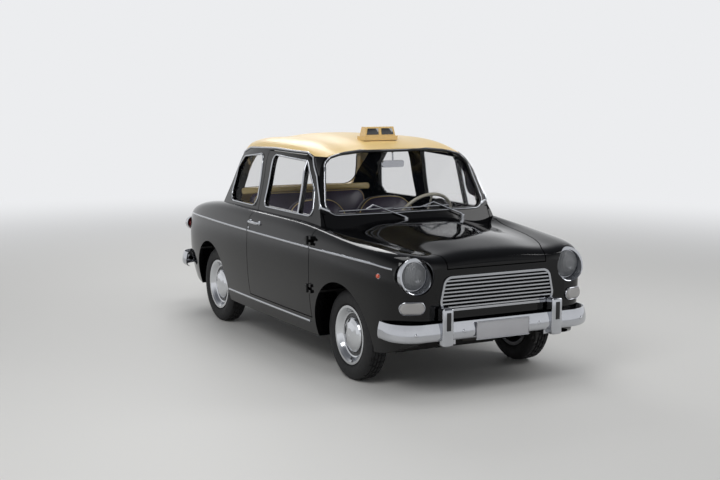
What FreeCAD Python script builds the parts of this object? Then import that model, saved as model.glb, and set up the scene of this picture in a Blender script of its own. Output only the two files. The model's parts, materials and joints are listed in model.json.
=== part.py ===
import FreeCAD, Part
import math
import os
import Sketcher
from FreeCAD import Placement, Rotation, Vector

# A small two-door taxi saloon, in millimetres.
# +Z is up, the nose points along -Y and the car's left side lies at +X.
# The origin is on the ground under the middle of the car.

# Driving sizes
SIZES = {
    # running gear
    "wheelbase": 2000,
    "axle_lead": 50,
    "track_half": 575,
    "tyre_radius": 264,
    "tyre_width": 130,
    "tyre_bead_radius": 160,
    "tyre_lift": 4,
    "tyre_shoulder": 34,
    "tyre_round": 16,
    "rim_width": 112,
    "rim_flange": 14,
    "rim_wall": 8,
    "rim_well": 12,
    "disc_place": 6,
    "stub_depth": 24,
    "cap_radius": 100,
    "cap_height": 26,
    "drum_radius": 96,
    "drum_width": 52,
    "axle_radius": 12,
    "running_gap": 0.1,
    "fit_gap": 0.3,
    "kingpin_inset": 72,
    "kingpin_radius": 13,
    "kingpin_height": 210,
    "boss_radius": 20,
    "boss_height": 120,
    "plate_thickness": 8,
    "plate_gap": 5,
    "steer_arm_length": 100,
    "steer_arm_drop": 50,
    "arch_radius": 316,
    "wheelhouse_wall": 8,
    "front_house_half": 362,
    "rear_house_half": 482,
    "arm_radius": 11,
    "arm_spread": 150,
    "member_half": 60,
    "member_tall": 40,
    "spring_radius": 40,
    "damper_radius": 22,
    "axle_tube_radius": 32,
    "differential_radius": 104,
    "spring_half_length": 470,
    "spring_offset": 400,
    "spring_width": 46,
    "spring_thickness": 24,
    "spring_camber": 50,
    # lower hull
    "body_half_width": 728,
    "nose_reach": 1642,
    "tail_reach": 1640,
    "waist_height": 880,
    "panel_wall": 14,
    "door_wall": 40,
    "overrun": 150,
    "shut_gap": 6,
    # cabin
    "cabin_half_width": 640,
    "roof_half_width": 548,
    "roof_height": 1372,
    "roof_crown": 88,
    "cabin_ahead": 810,
    "cabin_behind": 1150,
    "cabin_wall": 28,
    "belt_height": 890,
    "screen_foot": 681,
    "screen_bow": 25,
    "back_foot": 1088,
    "back_bow": 118,
    "back_corner_half": 560,
    # doors, lids and their seams
    "door_ahead": 38,
    "door_length": 912,
    "door_foot": 318,
    "door_top": 1266,
    "door_inner": 600,
    "hinge_radius": 8,
    "hinge_length": 54,
    "hinge_leaf": 44,
    "hinge_low": 470,
    "hinge_high": 760,
    "hinge_proud": 9,
    "pillar_face": 25,
    "hood_rear": 760,
    "hood_tab_offset": 290,
    "hood_front_height": 714,
    "nose_half": 405,
    "lid_front": 1132,
    "lid_half": 440,
    "lid_foot": 470,
    "lid_hinge_offset": 290,
    "lid_hinge_height": 873,
    "sill_top": 312,
    "sill_inner": 600,
    # lamps
    "lamp_offset": 520,
    "lamp_height": 681,
    "lamp_front": 1571,
    "lamp_pod_radius": 110,
    "lamp_pod_length": 330,
    "lamp_ring_radius": 101,
    "lamp_lens_radius": 78,
    "lamp_hood": 62,
    "lamp_lens_depth": 30,
    "lamp_lip": 8,
    "lamp_visor_tilt": 14,
    "signal_offset": 540,
    "signal_height": 510,
    "signal_length": 136,
    "signal_width": 64,
    "signal_depth": 34,
    "signal_reach": 1606,
    "signal_round": 12,
    "signal_turn": 22,
    "tail_lamp_offset": 596,
    "tail_lamp_height": 646,
    "tail_lamp_radius": 44,
    "tail_lamp_place": 1572,
    # grille
    "grille_top_half": 354,
    "grille_foot_half": 397,
    "grille_top": 676,
    "grille_foot": 480,
    "grille_frame": 13,
    "grille_depth": 26,
    "grille_proud": 10,
    "grille_bar": 8,
    "grille_pitch": 21,
    "grille_corner": 56,
    # bumpers
    "bumper_reach": 1674,
    "bumper_rear_reach": 1676,
    "bumper_half": 654,
    "bumper_bend": 150,
    "bumper_return": 50,
    "bumper_height": 374,
    "bumper_tall": 104,
    "bumper_crown": 26,
    "bumper_wall": 7,
    "guard_offset": 369,
    "guard_width": 62,
    "guard_foot": 318,
    "guard_top": 504,
    "guard_reach": 1715,
    "guard_round": 14,
    "bracket_width": 40,
    "bracket_tall": 28,
    # floor and rails
    "floor_height": 222,
    "sheet_wall": 10,
    "kick_place": 330,
    "pan_height": 300,
    "bulkhead_place": 836,
    "boot_floor_height": 404,
    "shelf_height": 838,
    "firewall_place": 664,
    "tunnel_radius": 150,
    "rail_offset": 320,
    "rail_width": 50,
    "rail_height": 90,
    "rail_foot": 300,
    "rail_front": 1590,
    "rail_rear": 1590,
    "eye_radius": 26,
    "eye_bore": 14,
    "eye_width": 14,
    "eye_drop": 50,
    # cabin fittings
    "seat_half": 235,
    "seat_offset": 268,
    "seat_front": 330,
    "seat_depth": 450,
    "seat_foot": 376,
    "seat_thick": 110,
    "seat_top": 936,
    "seat_back_thick": 110,
    "seat_lean": 90,
    "seat_round": 40,
    "runner_width": 30,
    "bench_half": 470,
    "bench_front": 345,
    "bench_top": 460,
    "bench_back_top": 968,
    "bench_back_thick": 120,
    "bench_wide_half": 530,
    "bench_wide_foot": 612,
    "dash_half": 560,
    "dash_top": 880,
    "dash_depth": 190,
    "dash_tall": 170,
    "wheel_rim_radius": 196,
    "wheel_rim_tube": 11,
    "wheel_offset": 330,
    "wheel_place": 300,
    "wheel_height": 826,
    "wheel_lean": 32,
    "column_radius": 24,
    "hub_radius": 38,
    "hub_depth": 34,
    "mirror_half": 78,
    "mirror_tall": 44,
    "mirror_thick": 16,
    "mirror_height": 1206,
    "mirror_place": 452,
    "mirror_stem_back": 12,
    # glass and wipers
    "glass": 5,
    "glass_inset": 10,
    "glass_edge": 0.3,
    "screen_half_foot": 572,
    "screen_half_top": 512,
    "screen_arch": 70,
    "screen_low": 926,
    "screen_high": 1286,
    "screen_round": 60,
    "back_half_foot": 470,
    "back_half_top": 426,
    "back_arch": 40,
    "back_low": 946,
    "back_high": 1226,
    "wiper_radius": 5,
    "wiper_boss": 13,
    # roof sign
    "sign_place": 250,
    "sign_half": 118,
    "sign_top_half": 104,
    "sign_depth": 80,
    "sign_top_depth": 52,
    "sign_tall": 62,
    "sign_flange": 9,
    "sign_overlap": 12,
    # engine, drive and exhaust
    "engine_half": 170,
    "engine_front": 1470,
    "engine_rear": 1010,
    "engine_foot": 330,
    "engine_top": 716,
    "sump_half": 110,
    "sump_foot": 256,
    "gearbox_radius": 84,
    "gearbox_rear": 560,
    "shaft_radius": 22,
    "shaft_height": 270,
    "pipe_radius": 20,
    "pipe_offset": 250,
    "pipe_height": 190,
    "silencer_radius": 58,
    "silencer_length": 330,
    "silencer_front": 1190,
    "silencer_height": 236,
    "pipe_bend": 60,
    "tank_width": 400,
    "tank_left": 130,
    "tank_length": 330,
    "tank_tall": 140,
    "tank_front": 1130,
}

# Lower hull, nose to tail. Each row gives its place as a share of the hull's length, then as
# shares of body_half_width, waist_height or the row's own half width:
# half width, foot, crest out, crest up, valley out, valley up, centre up.
HULL_SHARES = (
    (0.000, 0.646, 0.375, 0.851, 0.820, 0.638, 0.827, 0.835),
    (0.004, 0.749, 0.358, 0.881, 0.852, 0.697, 0.857, 0.864),
    (0.014, 0.830, 0.330, 0.861, 0.885, 0.671, 0.883, 0.897),
    (0.043, 0.900, 0.284, 0.832, 0.911, 0.649, 0.901, 0.926),
    (0.089, 0.942, 0.256, 0.828, 0.926, 0.656, 0.916, 0.952),
    (0.165, 0.975, 0.241, 0.845, 0.945, 0.704, 0.932, 0.970),
    (0.257, 0.990, 0.234, 0.877, 0.968, 0.777, 0.952, 0.993),
    (0.333, 0.996, 0.233, 0.890, 0.986, 0.772, 0.980, 1.000),
    (0.485, 1.000, 0.233, 0.890, 0.995, 0.769, 0.989, 1.007),
    (0.637, 0.996, 0.233, 0.883, 0.995, 0.772, 0.986, 1.007),
    (0.759, 0.978, 0.236, 0.868, 0.986, 0.758, 0.977, 1.000),
    (0.835, 0.957, 0.244, 0.846, 0.966, 0.717, 0.960, 0.984),
    (0.912, 0.918, 0.267, 0.841, 0.923, 0.704, 0.918, 0.943),
    (0.957, 0.868, 0.298, 0.854, 0.877, 0.696, 0.873, 0.893),
    (0.985, 0.790, 0.335, 0.861, 0.827, 0.696, 0.823, 0.835),
    (0.995, 0.714, 0.358, 0.846, 0.784, 0.692, 0.780, 0.789),
    (1.000, 0.646, 0.375, 0.851, 0.744, 0.681, 0.741, 0.748),
)
# Side of each hull row below its crest, as shares of its half width and of its height.
FLANK_SHARES = ((0.93, 0.0), (0.975, 0.22), (1.0, 0.55), (0.995, 0.8), (0.952, 0.955))

# Cabin arches, front to back: place along the cabin, then shares of cabin_half_width,
# roof_half_width and roof_height.
ARCH_SHARES = (
    (0.000, 0.978, 0.956, 0.920),
    (0.173, 0.984, 0.987, 0.952),
    (0.286, 0.997, 0.996, 0.985),
    (0.439, 1.000, 1.000, 0.999),
    (0.592, 0.997, 0.996, 0.998),
    (0.745, 0.972, 0.978, 0.975),
    (0.847, 0.944, 0.945, 0.934),
    (0.929, 0.916, 0.905, 0.882),
    (1.000, 0.884, 0.865, 0.824),
)

# Lean of the two screens, back per unit up.
SCREEN_LEAN_SHARE = 0.513
BACK_LEAN_SHARE = 0.59

# Arched top of a screen, corner to middle: shares of its upper half width and of its arch.
SCREEN_TOP_SHARES = ((1.0, 1.0), (0.913, 0.46), (0.777, 0.21), (0.466, 0.0))

# Seam outlines as shares: (of door_length behind the door's front edge, of roof_height).
ROOF_LINE_SHARES = ((-0.20, 0.920), (0.345, 0.922), (0.44, 0.938), (0.92, 0.941), (1.38, 0.928),
                    (1.51, 0.896), (1.69, 0.763), (1.835, 0.634))
DOOR_EDGE_SHARES = ((0.0, 0.640), (0.05, 0.662), (0.225, 0.840), (0.345, 0.905), (0.44, 0.9225))
DOOR_WINDOW_SHARES = ((0.910, 0.665), (0.167, 0.665), (0.202, 0.772), (0.381, 0.895), (0.885, 0.905))
QUARTER_WINDOW_SHARES = ((1.052, 0.658), (1.604, 0.654), (1.535, 0.816), (1.43, 0.876), (1.066, 0.903))
# Side edge of the hood: shares of body_half_width and of nose_reach.
HOOD_EDGE_SHARES = ((0.812, 0.380), (0.772, 0.532), (0.716, 0.649), (0.661, 0.759), (0.606, 0.846),
                    (0.552, 0.904), (0.470, 0.966), (0.440, 1.050))
# Each wiper's pivot, elbow, blade tip and blade heel across the screen, of screen_half_foot.
WIPER_SHARES = ((-0.07, -0.44, -0.86, -0.21), (0.66, 0.32, -0.20, 0.52))


class Size(float):
    """A length that also carries the sheet expression it comes from."""

    def __new__(cls, value, text):
        size = super().__new__(cls, value)
        size.text = text
        return size

    def __add__(self, other):
        return Size(float(self) + float(other), f"({self.text} + {words(other)})")

    def __radd__(self, other):
        return Size(float(other) + float(self), f"({words(other)} + {self.text})")

    def __sub__(self, other):
        return Size(float(self) - float(other), f"({self.text} - {words(other)})")

    def __rsub__(self, other):
        return Size(float(other) - float(self), f"({words(other)} - {self.text})")

    def __mul__(self, other):
        return Size(float(self) * float(other), f"({self.text} * {words(other)})")

    __rmul__ = __mul__

    def __truediv__(self, other):
        return Size(float(self) / float(other), f"({self.text} / {words(other)})")

    def __neg__(self):
        return Size(-float(self), f"(0 - {self.text})")


def words(value):
    """The expression text of a size or of a plain share."""
    return value.text if isinstance(value, Size) else f"{float(value):.6f}"


class Sizes:
    """Named sizes, read back from the sheet."""

    def __init__(self, sheet):
        self.sheet = sheet

    def __getattr__(self, name):
        return Size(self.sheet.get(name), f"sizes.{name}")


doc = FreeCAD.newDocument("taxi")
sheet = doc.addObject("Spreadsheet::Sheet", "sizes")
sheet.Label = "sizes"
for row, (name, value) in enumerate(SIZES.items(), start=1):
    sheet.set(f"A{row}", name)
    sheet.set(f"B{row}", str(value))
    sheet.setAlias(f"B{row}", name)
doc.recompute()
S = Sizes(sheet)

SIDES = (("left", 1), ("right", -1))
AXLE_FRONT = -(S.wheelbase / 2) - S.axle_lead
AXLE_REAR = S.wheelbase / 2 - S.axle_lead
DOOR_FRONT = AXLE_FRONT + S.arch_radius + S.door_ahead
DOOR_REAR = DOOR_FRONT + S.door_length
HULL_LENGTH = S.nose_reach + S.tail_reach
SILL_REAR = AXLE_REAR - S.arch_radius
REACH = S.overrun * 20
# Turns the joint line of a round solid away from the bars that run into it, in degrees.
SEAM_TURN = 80
parts = {}


# Shape helpers

def box(x0, x1, y0, y1, z0, z1):
    """A block between two corners."""
    return Part.makeBox(x1 - x0, y1 - y0, z1 - z0, Vector(x0, y0, z0))


def side_prism(points, x0, x1):
    """An outline of (y, z) points pushed along X."""
    wire = Part.makePolygon([Vector(x0, y, z) for y, z in points + points[:1]])
    return Part.Face(wire).extrude(Vector(x1 - x0, 0, 0))


def plan_prism(points, z0, z1):
    """An outline of (x, y) points pushed up."""
    wire = Part.makePolygon([Vector(x, y, z0) for x, y in points + points[:1]])
    return Part.Face(wire).extrude(Vector(0, 0, z1 - z0))


def front_prism(points, y0, y1):
    """An outline of (x, z) points pushed back."""
    wire = Part.makePolygon([Vector(x, y0, z) for x, z in points + points[:1]])
    return Part.Face(wire).extrude(Vector(0, y1 - y0, 0))


def rounded(solid, radius, direction):
    """Rounds the edges of a prism that run along a direction."""
    edges = [e for e in solid.Edges
             if isinstance(e.Curve, Part.Line) and abs(e.Curve.Direction.dot(direction)) > 0.999]
    return solid.makeFillet(radius, edges)


def cylinder(start, end, radius):
    """A round bar between two points."""
    run = end - start
    return Part.makeCylinder(radius, run.Length, start, run)


def tube_path(points, bend):
    """Straight runs joined by arcs that touch both runs."""
    edges = []
    last = points[0]
    for before, corner, after in zip(points, points[1:], points[2:]):
        into = (corner - before).normalize()
        out = (after - corner).normalize()
        turn = into.getAngle(out)
        cut = bend * math.tan(turn / 2)
        first = corner - into * cut
        final = corner + out * cut
        middle = corner + (out - into).normalize() * (bend / math.cos(turn / 2) - bend)
        edges.append(Part.makeLine(last, first))
        edges.append(Part.Arc(first, middle, final).toShape())
        last = final
    edges.append(Part.makeLine(last, points[-1]))
    return Part.Wire(edges)


def mirrored(shape):
    """The same piece on the other side of the car."""
    return shape.mirror(Vector(0, 0, 0), Vector(1, 0, 0))


def both(shape):
    """A piece and its mirror image, as one."""
    return Part.makeCompound([shape, mirrored(shape)])


def solid_of(shape):
    """The solids of a boolean's result, without loose faces."""
    return shape.Solids[0] if len(shape.Solids) == 1 else Part.makeCompound(shape.Solids)


def node(name, shape):
    """Keeps a shape as a sub-part of the document."""
    piece = doc.addObject("Part::Feature", name)
    piece.Label = name
    piece.Shape = shape
    piece.Placement = Placement()
    parts[name] = piece
    return piece


def bind(thing, **sizes):
    """Ties properties of an object to the sheet."""
    for name, size in sizes.items():
        thing.setExpression(name, size.text)


def place(thing, x, y, z, turn=None):
    """Puts a sub-part in place, with its position tied to the sheet."""
    thing.Placement = Placement(Vector(x, y, z), turn or Rotation())
    for axis, size in zip("xyz", (x, y, z)):
        if isinstance(size, Size):
            thing.setExpression(f"Placement.Base.{axis}", size.text)


def origin_plane(body, role):
    """One of a body's own origin planes or axes."""
    return next(f for f in body.Origin.OriginFeatures if f.Role == role)


def outline_sketch(body, role, points):
    """A closed sketch whose corners are tied to the sheet, one distance each way."""
    sketch = body.newObject("Sketcher::SketchObject", f"{body.Name}_outline")
    sketch.AttachmentSupport = [(origin_plane(body, role), "")]
    sketch.MapMode = "FlatFace"
    count = len(points)
    for i, (across, up) in enumerate(points):
        next_across, next_up = points[(i + 1) % count]
        sketch.addGeometry(Part.LineSegment(Vector(across, up, 0), Vector(next_across, next_up, 0)), False)
    for i in range(count):
        sketch.addConstraint(Sketcher.Constraint("Coincident", i, 2, (i + 1) % count, 1))
    for i, corner in enumerate(points):
        for kind, size in zip(("DistanceX", "DistanceY"), corner):
            index = sketch.addConstraint(Sketcher.Constraint(kind, -1, 1, i, 1, float(size)))
            if isinstance(size, Size):
                sketch.setExpression(f"Constraints[{index}]", size.text)
    return sketch


def turned_body(name, points):
    """A body made by turning an outline of (along X, radius) points about X."""
    body = doc.addObject("PartDesign::Body", name)
    body.Label = name
    sketch = outline_sketch(body, "XY_Plane", points)
    turn = body.newObject("PartDesign::Revolution", f"{name}_turn")
    turn.Profile = sketch
    turn.ReferenceAxis = (sketch, ["H_Axis"])
    turn.Angle = 360.0
    sketch.Visibility = False
    parts[name] = body
    return body


def padded_body(name, role, points, depth):
    """A body made by padding an outline both ways from an origin plane."""
    body = doc.addObject("PartDesign::Body", name)
    body.Label = name
    sketch = outline_sketch(body, role, points)
    pad = body.newObject("PartDesign::Pad", f"{name}_pad")
    pad.Profile = sketch
    pad.Length = float(depth)
    pad.Midplane = True
    bind(pad, Length=depth)
    parts[name] = body
    return body


# Common forms of hull and cabin

def offset_inward(points, wall):
    """Moves a half outline and its mirror image in by a wall, square to itself."""
    full = points + [(-x, z) for x, z in reversed(points[:-1])]
    moved = []
    for i, (x, z) in enumerate(full):
        x0, z0 = full[max(i - 1, 0)]
        x1, z1 = full[min(i + 1, len(full) - 1)]
        run = math.hypot(x1 - x0, z1 - z0)
        moved.append((x - wall * (z1 - z0) / run, z + wall * (x1 - x0) / run))
    half = moved[:len(points)]
    half[-1] = (0, half[-1][1])
    return half


def smooth_wire(half, y, drop):
    """A closed section: a smooth curve over the top and straight lines below."""
    full = [Vector(-x, y, z) for x, z in half] + [Vector(x, y, z) for x, z in reversed(half[:-1])]
    curve = Part.BSplineCurve()
    curve.interpolate(full)
    first, last = full[0], full[-1]
    edges = [curve.toShape()]
    if drop:
        low_last = last - Vector(0, 0, drop)
        low_first = first - Vector(0, 0, drop)
        edges.append(Part.makeLine(last, low_last))
        edges.append(Part.makeLine(low_last, low_first))
        edges.append(Part.makeLine(low_first, first))
    else:
        edges.append(Part.makeLine(last, first))
    return Part.Wire(edges)


def hull_form(wall=0.0, drop=0.0):
    """The lower body as one lofted solid, moved in by a wall and carried down by a drop."""
    middle = (S.tail_reach - S.nose_reach) / 2
    shrink = (HULL_LENGTH - 2 * wall) / HULL_LENGTH
    wires = []
    for along, wide, foot, out, up, in_out, in_up, centre in HULL_SHARES:
        half_width = S.body_half_width * wide
        low = S.waist_height * foot
        tall = S.waist_height * up - low
        half = [(half_width * a, low + tall * b) for a, b in FLANK_SHARES]
        valley = S.waist_height * in_up
        top = S.waist_height * centre
        half.append((half_width * out, S.waist_height * up))
        half.append((half_width * in_out, valley))
        half.append((half_width * in_out / 2, valley * 0.3 + top * 0.7))
        half.append((0, top))
        y = middle + (HULL_LENGTH * along - S.nose_reach - middle) * shrink
        wires.append(smooth_wire(offset_inward(half, wall) if wall else half, y, drop))
    return Part.makeLoft(wires, True, False)


def arch_wire(row, wall, low):
    """One roof arch of the cabin."""
    along, belt, top, rise = row
    belt_x = S.cabin_half_width * belt
    top_x = S.roof_half_width * top
    crown = S.roof_height * rise
    eave = crown - S.roof_crown
    half = [(belt_x * 1.0125, low),
            (belt_x, S.belt_height),
            ((belt_x + top_x) * 0.505, (S.belt_height + eave) / 2),
            (top_x, eave),
            (top_x - S.roof_crown * 0.34, eave + S.roof_crown * 0.386),
            (top_x * 0.6, crown - S.roof_crown * 0.25),
            (top_x * 0.3, crown - S.roof_crown * 0.057),
            (0, crown)]
    y = (S.cabin_ahead + S.cabin_behind) * along - S.cabin_ahead
    return smooth_wire(offset_inward(half, wall) if wall else half, y, 0)


def screen_y(z, inset=0.0):
    """Front of the cabin at a height, on the centre line."""
    return (z - S.belt_height) * SCREEN_LEAN_SHARE - S.screen_foot + inset * math.hypot(1, SCREEN_LEAN_SHARE)


def back_y(z, inset=0.0):
    """Back of the cabin at a height, on the centre line."""
    return S.back_foot - (z - S.belt_height) * BACK_LEAN_SHARE - inset * math.hypot(1, BACK_LEAN_SHARE)


def plan_wire(z, wall):
    """Outline of the cabin seen from above at a height: bowed screen, square sides, round back."""
    front = screen_y(z, wall)
    back = back_y(z, wall)
    side = S.cabin_half_width * 1.1 - wall
    corner = S.back_corner_half - (z - S.belt_height) * 0.22 - wall
    left = Vector(-side, front + S.screen_bow, z)
    right = Vector(side, front + S.screen_bow, z)
    edges = [Part.Arc(left, Vector(0, front, z), right).toShape()]
    start = Vector(side, back - S.back_bow * 3.05, z)
    points = [start,
              Vector(corner, back - S.back_bow * 1.3, z),
              Vector(corner * 0.8, back - S.back_bow * 0.5, z),
              Vector(0, back, z)]
    points += [Vector(-p.x, p.y, z) for p in reversed(points[:-1])]
    curve = Part.BSplineCurve()
    curve.interpolate(points)
    edges.append(Part.makeLine(right, start))
    edges.append(curve.toShape())
    edges.append(Part.makeLine(points[-1], left))
    return Part.Wire(edges)


def cabin_form(wall, low):
    """The cabin as one solid, moved in by a wall and reaching down to a height."""
    arches = Part.makeLoft([arch_wire(row, wall, low) for row in ARCH_SHARES], True, False)
    plan = Part.makeLoft([plan_wire(low - S.overrun, wall), plan_wire(S.roof_height + S.overrun, wall)], True, True)
    return arches.common(plan)


def pod_form(wall):
    """The tunnel that carries a headlamp, run back into the wing."""
    front = Vector(S.lamp_offset, wall - S.lamp_front - (S.overrun if wall else 0), S.lamp_height)
    rear = Vector(S.lamp_offset * 1.04, S.lamp_pod_length - S.lamp_front - wall, S.lamp_height * 1.015)
    wires = []
    for centre, radius in ((front, S.lamp_pod_radius - wall), (rear, S.lamp_pod_radius * 1.08 - wall)):
        wires.append(Part.Wire(Part.makeCircle(radius, centre, Vector(0, 1, 0))))
    return Part.makeLoft(wires, True, False)


hull = hull_form()
hull_thin = hull_form(S.panel_wall, S.overrun)
hull_thick = hull_form(S.door_wall, S.overrun)
cabin_low = S.waist_height * 0.66
cabin = cabin_form(0.0, cabin_low)
cabin_inner = cabin_form(S.cabin_wall, cabin_low - S.overrun)
pod = pod_form(0.0)
pod_inner = pod_form(S.panel_wall)
outer = hull.fuse([cabin, pod, mirrored(pod)])
thin_skin = outer.cut(hull_thin.fuse([cabin_inner, pod_inner, mirrored(pod_inner)]))
thick_skin = outer.cut(hull_thick.fuse(cabin_inner))


# Seams between the panels

def grown(points, by):
    """The same outline moved out on every side."""
    count = len(points)
    area = sum(points[i][0] * points[(i + 1) % count][1] - points[(i + 1) % count][0] * points[i][1]
               for i in range(count))
    side = 1 if area > 0 else -1
    lines = []
    for i in range(count):
        (a, b), (c, d) = points[i], points[(i + 1) % count]
        run = math.hypot(c - a, d - b)
        nx, ny = side * (d - b) / run, side * (a - c) / run
        lines.append((nx, ny, nx * a + ny * b + by))
    moved = []
    for i in range(count):
        n0, n1 = lines[i - 1], lines[i]
        cross = n0[0] * n1[1] - n1[0] * n0[1]
        moved.append(((n0[2] * n1[1] - n1[2] * n0[1]) / cross, (n0[0] * n1[2] - n1[0] * n0[2]) / cross))
    return moved


def seam(shares):
    """Points of a seam, from shares of the door's length and of the roof's height."""
    return [(DOOR_FRONT + S.door_length * a, S.roof_height * b) for a, b in shares]


roof_line = seam(ROOF_LINE_SHARES)
door_outline = [(DOOR_FRONT, S.door_foot)] + seam(DOOR_EDGE_SHARES)
door_outline += [(DOOR_REAR - S.shut_gap, S.door_top), (DOOR_REAR, S.belt_height), (DOOR_REAR, S.door_foot)]
door_window = seam(DOOR_WINDOW_SHARES)
quarter_window = seam(QUARTER_WINDOW_SHARES)
hood_edge = [(S.body_half_width * a, -S.nose_reach * b) for a, b in HOOD_EDGE_SHARES]
hood_outline = [(-x, y) for x, y in hood_edge] + list(reversed(hood_edge))
hood_outline[0] = (hood_outline[0][0], -S.hood_rear)
hood_outline[-1] = (hood_outline[-1][0], -S.hood_rear)
half_gap = S.shut_gap / 2


def window_prism(points, radius, inset):
    """A side window's opening, corners rounded."""
    outline = grown(points, -inset) if inset else points
    return rounded(side_prism(outline, S.door_inner * 0.5, REACH), radius, Vector(1, 0, 0))


def screen_prism(low, high, half_low, half_high, arch, front, rear, inset):
    """A front or rear window's opening, its top arched and its corners rounded."""
    top = [(half_high * a, high - arch * b) for a, b in SCREEN_TOP_SHARES]
    outline = [(-half_low, low), (half_low, low)] + top + [(-x, z) for x, z in reversed(top)]
    outline = grown(outline, -inset) if inset else outline
    return rounded(front_prism(outline, front, rear), S.screen_round - inset, Vector(0, 1, 0))


screen_sizes = (S.screen_low, S.screen_high, S.screen_half_foot, S.screen_half_top, S.screen_arch,
                -S.nose_reach, 0)
back_sizes = (S.back_low, S.back_high, S.back_half_foot, S.back_half_top, S.back_arch,
              S.bulkhead_place * 0.8, S.nose_reach)


def door_region(by):
    """Everything that belongs to the left door, grown on every side."""
    prism = side_prism(grown(door_outline, by) if by else door_outline, S.door_inner * 0.6, REACH)
    inner = S.door_inner - by
    low_corner = box(-REACH, inner, -REACH, REACH, -REACH, S.belt_height - S.shut_gap - by)
    pillar_corner = box(-REACH, inner, -REACH, door_window[1][0], -REACH, S.screen_low)
    pillar = screen_prism(*screen_sizes, by - S.pillar_face)
    return prism.cut([low_corner, pillar_corner, pillar])


def arch(axle, inner, radius):
    """Round space for a wheel, from an inner width outwards."""
    return Part.makeCylinder(radius, REACH, Vector(inner, axle, S.tyre_radius), Vector(1, 0, 0))


def wheelhouse(axle, inner):
    """Inner wall and barrel around a wheel, inside the hull."""
    wall = S.wheelhouse_wall
    barrel = arch(axle, inner - wall, S.arch_radius + wall).cut(arch(axle, inner, S.arch_radius))
    return barrel.common(hull)


front_arch = arch(AXLE_FRONT, S.front_house_half, S.arch_radius)
rear_arch = arch(AXLE_REAR, S.rear_house_half, S.arch_radius)
left_half = box(0, REACH, -REACH, REACH, -REACH, REACH)
nose_region = box(-S.nose_half, S.nose_half, -REACH, -S.lamp_front, -REACH, S.hood_front_height - half_gap)
hood_space = plan_prism(grown(hood_outline, half_gap), S.hood_front_height - half_gap, REACH)
lid_space = box(-S.lid_half - half_gap, S.lid_half + half_gap, S.lid_front - half_gap, REACH,
                S.lid_foot - half_gap, REACH)
tail_region = box(-S.lid_half - half_gap, S.lid_half + half_gap, S.tank_front, REACH,
                  -REACH, S.lid_foot - half_gap)
deck_region = box(-S.lid_half - half_gap, S.lid_half + half_gap, S.bulkhead_place, S.lid_front - half_gap,
                  S.waist_height * 0.9, REACH)
roof_outline = roof_line + [(REACH, roof_line[-1][1]), (REACH, REACH), (-REACH, REACH), (-REACH, roof_line[0][1])]
back_sill = box(-S.lid_half, S.lid_half, S.bulkhead_place, REACH, S.waist_height * 0.9, REACH).common(cabin)
roof_region = side_prism(roof_outline, -REACH, REACH).fuse(back_sill)
below_roof = side_prism(roof_line + [(REACH, roof_line[-1][1]), (REACH, -REACH), (-REACH, -REACH),
                                     (-REACH, roof_line[0][1])], -REACH, REACH).cut(back_sill)


WINDOW_ROUND = S.screen_round / 3
screen_hole = screen_prism(*screen_sizes, 0)
back_hole = screen_prism(*back_sizes, 0)
door_hole = window_prism(door_window, WINDOW_ROUND, 0)
quarter_hole = window_prism(quarter_window, WINDOW_ROUND, 0)

# Body panels

roof = thin_skin.common(roof_region).cut([screen_hole, back_hole])
node("roof", solid_of(roof))

frame_space = box(-REACH, REACH, half_gap - S.hood_rear, DOOR_REAR + S.shut_gap, S.waist_height * 0.9, REACH)
door_space = door_region(S.shut_gap)
frame_skin = thin_skin.common(frame_space).common(below_roof)
frame_skin = frame_skin.cut([screen_hole, door_space, mirrored(door_space)])
beside_cowl = box(S.door_inner - S.shut_gap, REACH, -REACH, DOOR_FRONT + S.overrun, -REACH,
                  S.waist_height * 0.985)
frame_skin = frame_skin.cut([beside_cowl, mirrored(beside_cowl)])
frame_skin = frame_skin.cut(box(-REACH, REACH, DOOR_FRONT + S.door_length * 0.5, REACH, -REACH, S.belt_height))
node("windscreen_frame", solid_of(frame_skin))

wing = thin_skin.common(box(0, REACH, -REACH, DOOR_FRONT - S.shut_gap, -REACH, REACH))
lamp_foot = Vector(S.lamp_offset, -S.lamp_front - S.fit_gap, S.lamp_height)
lamp_space = cylinder(lamp_foot, lamp_foot - Vector(0, S.overrun, 0), S.lamp_ring_radius + S.fit_gap)
bracket_half = S.bracket_width / 2 + S.fit_gap
bracket_space = box(S.rail_offset - bracket_half, S.rail_offset + bracket_half, -REACH, S.overrun - S.nose_reach,
                    S.rail_foot - S.overrun, S.rail_foot + S.bracket_tall + S.fit_gap)
beside_hood = box(0, S.door_inner, -S.hood_rear - half_gap, REACH, S.waist_height * 0.8, REACH)
wing = wing.cut([hood_space, beside_hood, nose_region, front_arch, lamp_space, bracket_space])
front_house = wheelhouse(AXLE_FRONT, S.front_house_half)
slot_wall = box(0, S.front_house_half, AXLE_FRONT - S.arm_spread, AXLE_FRONT + S.arm_spread, -REACH,
                S.tyre_radius + S.kingpin_height / 2 + S.arm_radius * 4)
front_house = front_house.cut([slot_wall, nose_region])


def hinge_axis():
    """Where a door's hinge line stands, seen from above."""
    return Vector(S.body_half_width + S.hinge_proud / 2, DOOR_FRONT, 0)


def hinge_part(low, high, ahead):
    """One knuckle of a door hinge with its leaf, ahead of or behind the hinge line."""
    axis = hinge_axis()
    barrel = Part.makeCylinder(S.hinge_radius, high - low, Vector(axis.x, axis.y, low))
    far = axis.y - S.hinge_leaf if ahead else axis.y + S.hinge_leaf
    near = axis.y
    leaf = box(axis.x - S.hinge_leaf, axis.x - S.hinge_radius / 4, min(near, far), max(near, far), low, high)
    return barrel.fuse(leaf.cut(hull)).cut(hull)


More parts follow.
